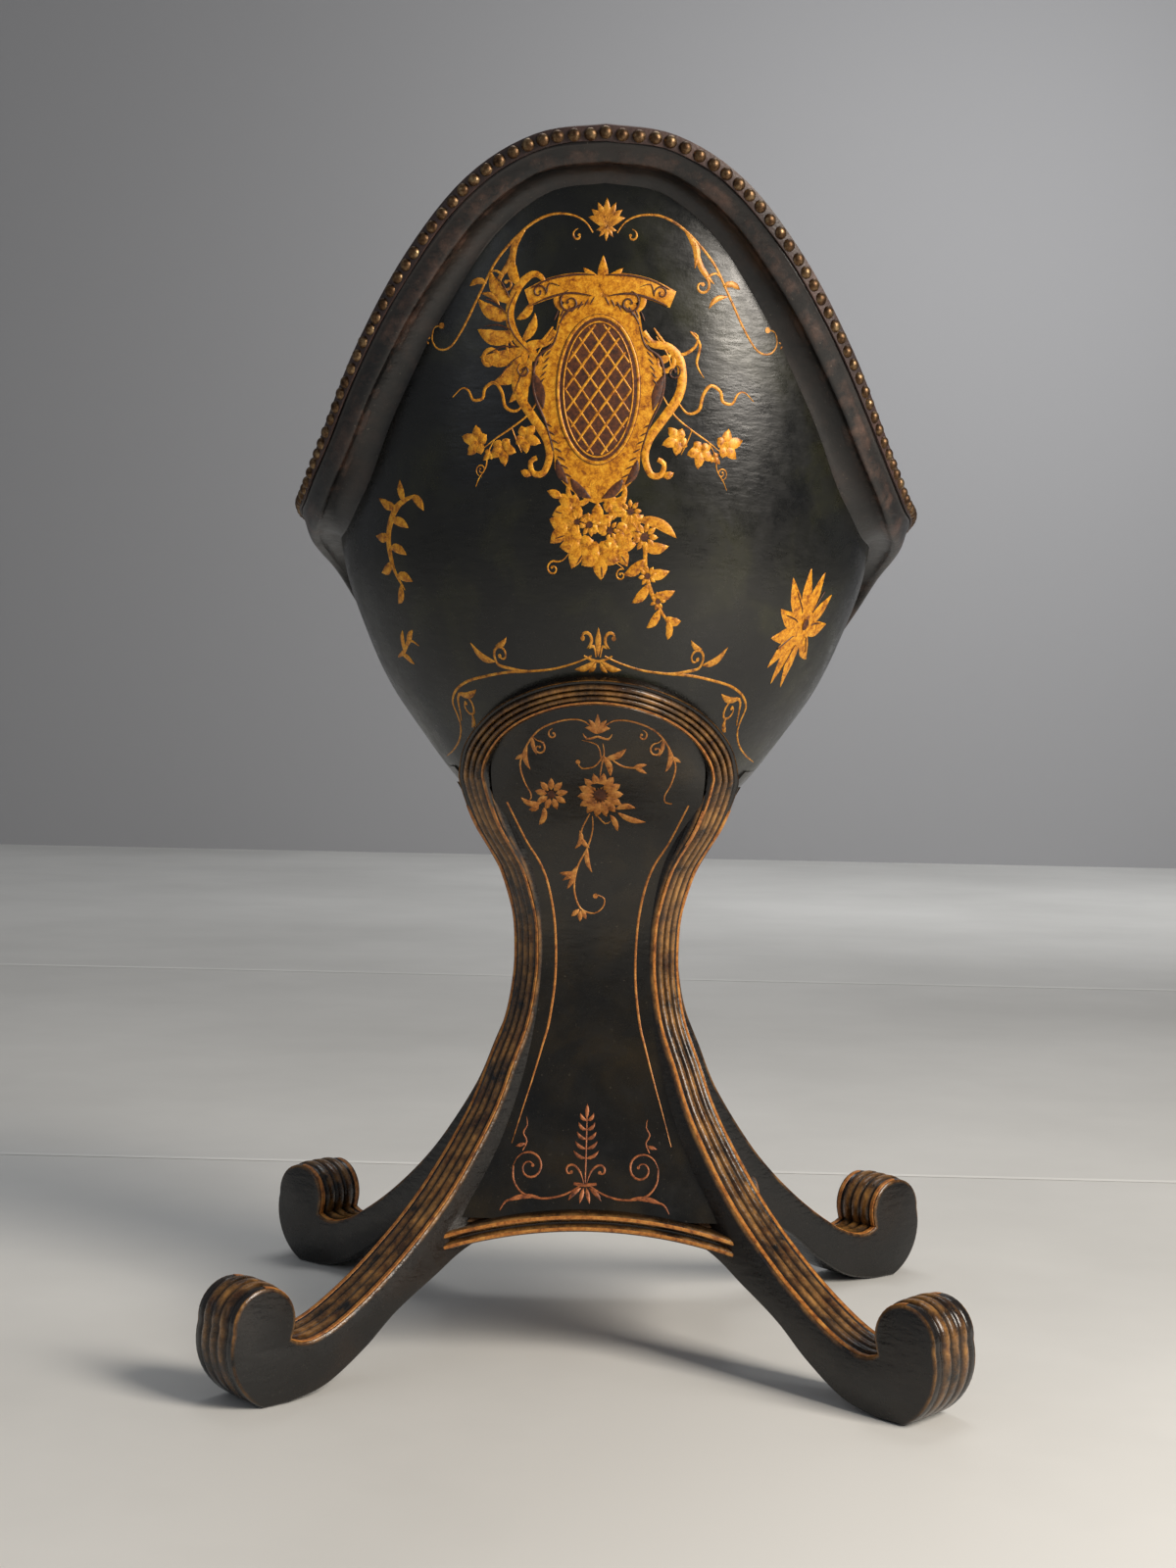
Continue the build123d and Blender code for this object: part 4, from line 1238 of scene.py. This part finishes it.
def gildFrame():
    middle = (0, medallion["height"])
    cz = medallion["height"]
    gold = Gilder(frameAt)
    gold.fill(middle, frameRadius, 0.0, 96)
    gold.palmette((2, cz + 66), 30, 5, 90, 140)
    gold.done("frameBody", giltBright)

    straps = Gilder(frameAt, mirror=True)
    straps.stroke(upBy((-2, 74), (16, 76), (36, 73), (55, 66)), 15, 0.9, 0.85, extra=0.25)
    straps.scroll((24, cz + 64), 11, 80, 1.1, 5.5, hand=-1, eye=0.2, lead=upBy((8, 70)))
    straps.stroke(upBy((33, 42), (40, 34), (52, 32), (61, 24), (64, 10), (61, -4), (50, -20), (40, -34),
                       (37, -48), (42, -60), (50, -60), (52, -52), (47, -49)), 7, 0.7, 0.5, extra=0.3)
    straps.scroll((49, cz + 21), 11, 100, 1.1, 4.5, hand=-1)
    straps.scroll((12, cz - 74), 12, 60, 1.1, 5, hand=-1)
    straps.leaf((52, cz - 62), (60, cz - 58), 7)
    straps.done("frameStraps", giltBright)

    shade = Gilder(frameAt, mirror=True)
    deep = 0.5
    shade.stroke(upBy((30, 46), (35, 32), (46, 24), (50, 10), (48, -6), (40, -24), (34, -44)),
                 2.2, 0.4, 0.4, extra=deep)
    shade.stroke(upBy((12, 61), (24, 56), (30, 47)), 2.2, 0.4, 0.3, extra=deep)
    shade.stroke(upBy((4, 82), (20, 82), (38, 79), (52, 73)), 1.7, 0.3, 0.4, extra=deep + 0.25)
    shade.stroke(upBy((6, 67), (22, 69), (38, 66), (51, 61)), 1.7, 0.3, 0.4, extra=deep + 0.25)
    shade.scroll((46, cz + 70), 6, 200, 1.1, 1.5, hand=-1, lead=upBy((30, 74), (38, 76)), extra=deep + 0.3)
    shade.scroll((22, cz + 62), 9, 80, 1.2, 1.7, hand=-1, extra=deep + 0.3)
    shade.scroll((57, cz + 14), 6, 60, 1.1, 1.5, hand=-1, extra=deep + 0.2)
    shade.leaves(((50, cz + 12), (42, cz - 14), 9, -1, deep), ((20, cz - 64), (4, cz - 78), 8, 2, deep),
                 ((31, cz - 50), (22, cz - 68), 7, 2, deep))
    for k in range(7):
        for tick in (((4 + 4.5 * k, 66 - 1.6 * k), (7 + 4.5 * k, 61 - 1.9 * k)),
                     ((40 - 2.4 * k, -24 - 6 * k), (35 - 2.6 * k, -27 - 6 * k)),
                     ((34 + 1.2 * k, 38 - 5 * k), (38 + 1.2 * k, 34 - 5 * k))):
            shade.stroke(upBy(*tick), 1.4, 0.5, 0.2, extra=deep)
    shade.done("frameEngraving", giltBrown)

    field = Gilder(frameAt)
    wide, high = medallion["halfWidth"], medallion["halfHeight"]
    field.fill(middle, ovalRadius(wide + medallion["groundRim"], high + medallion["groundRim"]), 0.35, 64)
    field.done("medallionGround", giltBrown)
    trellis = Gilder(frameAt)
    for grow, width in ((3.6, 2.6), (-0.6, 1.4)):
        ring = [(math.cos(turn) * (wide + grow), math.sin(turn) * (high + grow))
                for turn in evenly(0, 2 * math.pi, 41)]
        trellis.stroke(upBy(*ring), width, 1, 1, extra=0.75)
    pitch, slope = medallion["pitch"], medallion["slope"]
    for hand in (1, -1):
        for k in range(-6, 7):
            inside = [x for x in range(-wide, wide + 1) if insideOval(x, (hand * x + k * pitch) * slope, 1.5)]
            if len(inside) > 4:
                ends = [(x, (hand * x + k * pitch) * slope)
                        for x in (inside[0], (inside[0] + inside[-1]) / 2, inside[-1])]
                trellis.stroke(upBy(*ends), 2.2, 0.8, 0.8, extra=0.6 + 0.15 * hand)
    for across in range(-3, 4):
        for up in range(-8, 9):
            spot = (across * pitch / 2, up * pitch * slope / 2)
            if (across + up) % 2 and insideOval(*spot, 4):
                trellis.flower(upBy(spot)[0], 3.4, 4)
    trellis.done("medallionTrellis", giltBright)


def gildSprays():
    # vine sprays, ribbons and acanthus round the frame
    gold = Gilder(tubAt, mirror=True)
    gold.stroke([(46, 742), (56, 728), (70, 718), (84, 710), (96, 702)], 1.6, 0.7, 0.3)
    gold.stroke([(84, 710), (90, 700), (92, 690), (98, 682), (101, 676)], 1.2, 0.7, 0.3)
    gold.scroll((96, 688), 5, -90, 1.4, 1.1)
    gold.stroke([(70, 718), (66, 708), (62, 700)], 1.2, 0.7, 0.3)
    for centre, radius, heading, lobes in (((60, 711), 14, 200, 5), ((78, 704), 14, 262, 5),
                                           ((98, 708), 15, 20, 5), ((88, 700), 8, 320, 3)):
        gold.lobedLeaf(centre, radius, heading, lobes)
    gold.stroke([(58, 738), (66, 730), (75, 733), (78, 744), (84, 751), (92, 747), (94, 740), (102, 739),
                 (106, 746), (112, 748), (120, 742)], 3.0, 0.4, 0.2)
    gold.stroke([(38, 790), (50, 776), (60, 772), (70, 778), (72, 786), (66, 789)], 2.8, 0.5, 0.3)
    gold.stroke([(66, 789), (74, 780), (72, 766), (78, 756)], 2.4, 0.5, 0.2)
    gold.stroke([(40, 784), (50, 770), (52, 758)], 1.3, 0.7, 0.4)
    gold.leaf((52, 772), (44, 764), 5)
    gold.done("vineSprays", giltBright)

    plume = Gilder(tubAt)
    plume.stroke([(-52, 770), (-66, 782), (-72, 800), (-66, 818), (-54, 828), (-46, 824), (-48, 816)],
                 7, 0.9, 0.35, extra=0.2)
    plume.leaves(((-60, 776), (-96, 770), 15, 5), ((-66, 786), (-98, 790), 14, 5),
                 ((-70, 798), (-98, 812), 13, 4), ((-70, 808), (-88, 832), 12, 4),
                 ((-64, 820), (-70, 842), 10, 3), ((-58, 772), (-86, 750), 15, 5),
                 ((-56, 768), (-72, 736), 13, 4), ((-62, 780), (-52, 800), 9, -3),
                 ((-66, 796), (-54, 810), 8, -3), ((-54, 768), (-58, 728), 9, -4))
    plume.scroll((-88, 768), 9, 0, 1.1, 4)
    plume.done("acanthusPlume", giltBright)
    veins = Gilder(tubAt)
    for base, tip in (((-64, 776), (-90, 772)), ((-70, 788), (-92, 792)), ((-74, 800), (-92, 812)),
                      ((-72, 812), (-84, 828)), ((-62, 770), (-80, 754)), ((-58, 762), (-68, 742))):
        middle = ((base[0] + tip[0]) / 2, (base[1] + tip[1]) / 2 + 2.5)
        veins.stroke([base, middle, tip], 1.2, 0.5, 0.2, extra=0.45)
    veins.stroke([(-56, 772), (-69, 786), (-73, 801), (-66, 816)], 1.3, 0.4, 0.3, extra=0.5)
    veins.done("plumeVeins", giltBrown)


def gildFestoon():
    # a knot of leaves and flowers under the frame, with a drop to one side
    gold = Gilder(tubAt)
    for centre, radius, heading in (((-22, 660), 17, 200), ((-26, 646), 18, 220), ((-16, 634), 19, 250),
                                    ((0, 628), 20, 275), ((14, 634), 18, 300), ((22, 648), 17, 330),
                                    ((-2, 648), 16, 90), ((10, 660), 14, 40)):
        gold.lobedLeaf(centre, radius, heading)
    for centre, radius, petals, turn in (((-8, 648), 9, 8, 10), ((8, 644), 8, 7, 0), ((-18, 650), 7, 7, 20),
                                         ((24, 658), 9, 8, 5), ((36, 640), 11, 9, 0)):
        gold.flower(centre, radius, petals, turn)
    gold.stroke([(26, 650), (36, 634), (38, 616), (44, 600), (54, 586), (62, 578)], 4, 0.8, 0.5)
    for k, (base, tip) in enumerate((((34, 634), (56, 634)), ((37, 624), (20, 612)), ((38, 614), (58, 616)),
                                     ((41, 606), (28, 592)), ((46, 598), (64, 602)), ((52, 588), (42, 574)),
                                     ((58, 582), (72, 580)), ((60, 580), (62, 566)))):
        gold.leaf(base, tip, 11 - 0.5 * k, 2 if k % 2 else -2)
    gold.flower((40, 612), 8, 8, 12)
    gold.flower((50, 594), 7, 7)
    gold.leaf((30, 652), (62, 640), 10, 4)
    gold.scroll((-38, 616), 6, 60, 1.2, 1.6, lead=[(-24, 628), (-30, 622)])
    gold.scroll((18, 612), 5, 60, 1.2, 1.4, lead=[(12, 622)])
    gold.leaf((-30, 668), (-42, 672), 8)
    gold.done("festoon", giltBright)
    shade = Gilder(tubAt)
    for centre, radius in (((-8, 648), 2.6), ((8, 644), 2.4), ((-18, 650), 2.1), ((24, 658), 2.6),
                           ((36, 640), 3.2), ((40, 612), 2.3), ((50, 594), 2.0)):
        shade.disc(centre, radius, extra=0.5)
    for x, z, length in ((-28, 640, 8), (-14, 626, 8), (2, 618, 8), (18, 626, 7), (-30, 656, 6),
                         (28, 644, 6)):
        way = math.atan2(z - 648, x)
        shade.stroke([around((x, z), way, length * share) for share in (0, 0.5, 1)], 1.1, 0.5, 0.2, extra=0.4)
    shade.done("festoonShading", giltBrown)


def gildSideSprays():
    # leaf sprays low on the flanks of the back
    gold = Gilder(tubAt)
    gold.stroke([(-160, 672), (-182, 664), (-196, 644), (-196, 620), (-186, 602)], 5, 0.3, 0.25, swell=0.5)
    for base, tip in (((-172, 668), (-176, 684)), ((-182, 664), (-204, 672)), ((-190, 654), (-170, 648)),
                      ((-195, 644), (-214, 644)), ((-196, 634), (-176, 628)), ((-196, 624), (-214, 616)),
                      ((-193, 612), (-174, 608)), ((-190, 606), (-200, 592)), ((-164, 671), (-152, 660))):
        gold.leaf(base, tip, 9, 2)
    gold.stroke([(-232, 552), (-216, 556), (-200, 564), (-188, 560)], 4, 0.3, 0.2)
    gold.leaves(((-216, 556), (-206, 572), 7, 1), ((-206, 560), (-190, 572), 7, 1),
                ((-222, 554), (-206, 546), 7, 1))
    for tip, bend in (((176, 616), 4), ((170, 592), 3), ((168, 570), 2), ((176, 548), -2), ((190, 536), -3),
                      ((208, 534), -3), ((196, 624), 3), ((216, 622), 2), ((236, 606), -2), ((244, 584), -3),
                      ((232, 556), -3)):
        gold.leaf((208, 580), tip, 15, bend)
    gold.flower((208, 582), 15, 9, 10)
    gold.done("flankSprays", giltBright)
    shade = Gilder(tubAt)
    shade.disc((208, 582), 4.2, extra=0.5)
    for x, z in ((184, 606), (178, 588), (180, 562), (196, 546), (222, 608), (232, 584), (224, 562)):
        start = (208 + (x - 208) * 0.4, 580 + (z - 580) * 0.4)
        shade.stroke([start, ((208 + x) / 2, (580 + z) / 2 + 1), (x, z)], 1.4, 0.4, 0.2, extra=0.45)
    shade.done("flankVeins", giltBrown)


def gildPanel():
    # inside the arch and down the back face of the pedestal
    scrolls = Gilder(faceAt, mirror=True)
    scrolls.stroke([(3, 499), (12, 505), (25, 505), (40, 500), (49, 493), (56, 482), (60, 470), (57, 457),
                    (52, 447), (53, 442), (58, 441)], 1.7, 0.6, 0.6)
    scrolls.scroll((34, 494), 4.5, 90, 0.9, 1.6, hand=-1)
    scrolls.scroll((45, 483), 6, 80, 1.1, 1.7, lead=[(50, 492)])
    scrolls.leaves(((54, 486), (52, 466), 5, 3), ((57, 478), (64, 474), 4), ((50, 492), (47, 478), 4, 1))
    scrolls.stroke([(0, 493), (8, 491), (11, 495)], 2.0, 0.9, 0.3)
    scrolls.stroke([(71, 440), (57, 410), (45, 390), (38, 370), (33, 340), (32, 300), (36, 265), (41, 245),
                    (48, 220), (55, 197), (63, 170)], 2.3, 0.7, 0.3)
    scrolls.done("faceScrolls", giltDull)

    flowers = Gilder(faceAt)
    flowers.palmette((0, 495), 15, 5, 90, 130)
    flowers.flower((2, 447), 18, 14, 4)
    flowers.flower((-36, 447), 13, 9, 10)
    flowers.stroke([(2, 462), (3, 470), (5, 480), (4, 488)], 1.4, 0.6, 0.3)
    flowers.stroke([(4, 478), (-2, 470), (-12, 468), (-15, 472)], 1.4, 0.6, 0.7)
    flowers.disc((-15, 473), 1.8)
    flowers.stroke([(3, 474), (0, 486), (-12, 490)], 1.1, 0.5, 0.3)
    flowers.leaves(((6, 476), (22, 484), 6, -2), ((4, 478), (10, 462), 6, 2))
    flowers.stroke([(10, 476), (20, 470), (34, 469)], 1.6, 0.6, 1)
    flowers.leaves(((28, 470), (38, 465), 4), ((28, 470), (38, 472), 4),
                   ((-44, 440), (-60, 444), 6, 3), ((-46, 438), (-54, 434), 6, 1),
                   ((-42, 436), (-46, 422), 6, 2), ((14, 436), (30, 437), 6, 2),
                   ((16, 433), (38, 426), 6, -2), ((10, 431), (16, 418), 6, 1))
    flowers.stroke([(-6, 432), (-12, 420), (-14, 408)], 1.5, 0.6, 0.4)
    flowers.stroke([(-4, 430), (-4, 418), (-8, 404), (-15, 390), (-18, 376), (-17, 364), (-12, 354),
                    (-2, 351), (5, 356), (6, 363), (0, 366)], 1.8, 0.5, 0.6)
    flowers.disc((-1, 365), 2.0)
    flowers.stroke([(0, 430), (6, 424), (10, 426)], 1.4, 0.5, 0.5)
    for base, tip, bend in (
            ((-14, 418), (-18, 403), 3), ((-13, 412), (-6, 404), -1), ((-8, 404), (-4, 384), -2),
            ((-15, 390), (-28, 377), 2), ((-17, 386), (-24, 370), 1), ((-18, 384), (-30, 383), 1),
            ((-14, 354), (-20, 348), 0), ((-13, 353), (-13, 344), 0), ((-12, 354), (-8, 346), 0)):
        flowers.leaf(base, tip, 5, bend)
    flowers.done("faceFlowers", giltDull)
    eyes = Gilder(faceAt)
    eyes.disc((2, 447), 5.0, extra=0.4)
    eyes.disc((-36, 447), 3.2, extra=0.4)
    eyes.done("flowerEyes", giltBrown)


def gildFoot():
    # palm and scrolls above the back apron
    pair = Gilder(footAt, mirror=True)
    for k in range(5):
        pair.leaf((0, 160 + 7 * k), (10 - 1.2 * k, 166 + 7 * k), 3.6, -1.5)
    pair.scroll((12, 151), 5.5, 150, 0.8, 2.0, hand=-1, lead=[(1, 142), (4, 150)])
    pair.stroke([(3, 141), (16, 134), (32, 131), (48, 134), (56, 143), (57, 154)], 1.9, 0.6, 0.8)
    pair.scroll((44, 153), 13, 5, 1.4, 2.0)
    pair.stroke([(50, 165), (47, 172), (50, 178), (47, 184), (48, 190)], 1.5, 0.7, 0.3)
    pair.leaves(((48, 170), (56, 168), 3.5), ((36, 132), (62, 128), 4.5, 2))
    pair.stroke([(56, 130), (62, 128), (66, 122)], 1.8, 0.7, 0.5)
    pair.leaves(((3, 139), (13, 130), 4.5, 1), ((1, 139), (4, 128), 4))
    pair.done("footScrolls", giltFoot)
    stem = Gilder(footAt)
    stem.stroke([(0, 143), (0, 160), (0, 180), (0, 196)], 1.5, 0.8, 0.3)
    stem.leaf((0, 190), (0, 201), 4)
    stem.stroke([(-9, 142), (0, 141), (9, 142)], 3.0, 0.8, 0.8)
    stem.done("footStem", giltFoot)


gildTubBorders()
gildFrame()
gildSprays()
gildFestoon()
gildSideSprays()
gildPanel()
gildFoot()
print("gilding laid")


# Finishes on the joiner's own pieces that stay

keptFinishes = {"iron": forgedIron, "panel_lacquer": panelLacquer,
                "leg_lacquer": reedLacquer, "apron_lacquer": reedLacquer}
slots = {entry["node"]: entry["material_slot"] for entry in frame["record"]["subparts"]}
for nodeName, nodeObject in frame["nodes"].items():
    nodeObject.data.materials.clear()
    nodeObject.data.materials.append(keptFinishes.get(slots[nodeName], bareBeech))
print("kept pieces finished")


# Room: pale painted floorboards and a grey wall, in metres

room = {
    "halfWidth": 9.0, "near": -4.0, "back": 6.1, "height": 7,
    "seams": (0.64, 2.43), "seamHalf": 0.0035, "seamLift": 0.0004,
    # near and far colour, roughness and scale of the scuffs
    "floor": ("#E4E3DF", "#D2D1CD", 0.55, 0.7), "wall": ("#A3A3A5", "#A3A3A5", 0.8, 0.5),
    "seam": ("#EDECE8", "#E2E1DD", 0.7, 3.0),
}


def makePlain(name, near, far, roughness, scuffScale):
    material, tree, shader, place = startMaterial(name)
    scuffs = noise(tree, place, 1 / (scuffScale * mm), 6, 0.6)
    tree.links.new(ramp(tree, scuffs, (0.35, 0.6), (far, near)), shader.inputs["Base Color"])
    shader.inputs["Roughness"].default_value = roughness
    return material


def makeRoomPiece(name, corners, material):
    mesh = bpy.data.meshes.new(name)
    mesh.from_pydata(corners, [], [(0, 1, 2, 3)])
    mesh.materials.append(material)
    piece = bpy.data.objects.new(name, mesh)
    bpy.context.collection.objects.link(piece)
    return piece


def makeRoom():
    wide, near, back, high = room["halfWidth"], room["near"], room["back"], room["height"]
    pieces = [
        makeRoomPiece("floor", ((-wide, near, 0), (wide, near, 0), (wide, back, 0), (-wide, back, 0)),
                      makePlain("pale floor paint", *room["floor"])),
        makeRoomPiece("wall", ((-wide, back, 0), (wide, back, 0), (wide, back, high), (-wide, back, high)),
                      makePlain("grey wall paint", *room["wall"])),
    ]
    seamPaint = makePlain("seam in the floor", *room["seam"])
    for number, distance in enumerate(room["seams"]):
        half = room["seamHalf"] * (1 + distance)
        corners = [(x, y, room["seamLift"]) for x, y in ((-wide, distance - half), (wide, distance - half),
                                                         (wide, distance + half), (-wide, distance + half))]
        pieces.append(makeRoomPiece("floorSeam" + str(number), corners, seamPaint))


makeRoom()


# Light: one soft key from the right of the camera, a weak fill and a grey room

lampSettings = {
    # place, target, size, watts, colour
    "key": ((2.0, -1.6, 1.75), (0, 0, 0.60), (0.9, 1.5), 98, "#FFF6EA"),
    "fill": ((-2.6, -2.4, 1.6), (0, 0, 0.5), (1.6, 1.6), 4, "#EAF1FF"),
    "top": ((0.2, 0.9, 2.9), (0, 0, 0.7), (1.6, 0.8), 16, "#FFFFFF"),
    "wallWash": ((1.5, 3.4, 2.6), (0.8, 6.1, 1.4), (1.5, 1.5), 60, "#FFFFFF"),
}
for lampName, (place, target, size, watts, colour) in lampSettings.items():
    lampData = bpy.data.lights.new(lampName, "AREA")
    lampData.shape = "RECTANGLE"
    lampData.size, lampData.size_y = size
    lampData.energy = watts
    lampData.color = linear(colour)[:3]
    lamp = bpy.data.objects.new(lampName, lampData)
    lamp.location = place
    lamp.rotation_euler = (Vector(target) - Vector(place)).to_track_quat("-Z", "Y").to_euler()
    bpy.context.collection.objects.link(lamp)

world = bpy.data.worlds.new("grey room")
world.use_nodes = True
sky = world.node_tree.nodes["Background"]
sky.inputs["Color"].default_value = linear("#C4C8CE")
sky.inputs["Strength"].default_value = 0.34
bpy.context.scene.world = world


# Camera where the photographer stood

view = {"distance": 1795, "height": 508, "side": -10.3, "pitch": 0.031, "yaw": -0.026, "roll": 0.019,
        "focal": 49.93, "sensor": 36}
forward = Vector((0, math.cos(view["pitch"]), -math.sin(view["pitch"])))
upward = Vector((0, math.sin(view["pitch"]), math.cos(view["pitch"])))
rightward = Vector((1, 0, 0))
rollCos, rollSin = math.cos(view["roll"]), math.sin(view["roll"])
cameraRight = rightward * rollCos + upward * rollSin
cameraUp = upward * rollCos - rightward * rollSin
turned = Matrix.Rotation(-view["yaw"], 4, "Z")
axes = Matrix((cameraRight, cameraUp, -forward)).transposed().to_4x4()
spot = Matrix.Translation(Vector((view["side"], -view["distance"], view["height"])) * mm)
cameraData = bpy.data.cameras.new("photographer")
cameraData.sensor_fit = "VERTICAL"
cameraData.sensor_height = view["sensor"]
cameraData.lens = view["focal"]
camera = bpy.data.objects.new("photographer", cameraData)
camera.matrix_world = turned @ spot @ axes
bpy.context.collection.objects.link(camera)
bpy.context.scene.camera = camera
bpy.context.scene.view_settings.view_transform = "Standard"
print("room, light and camera set")
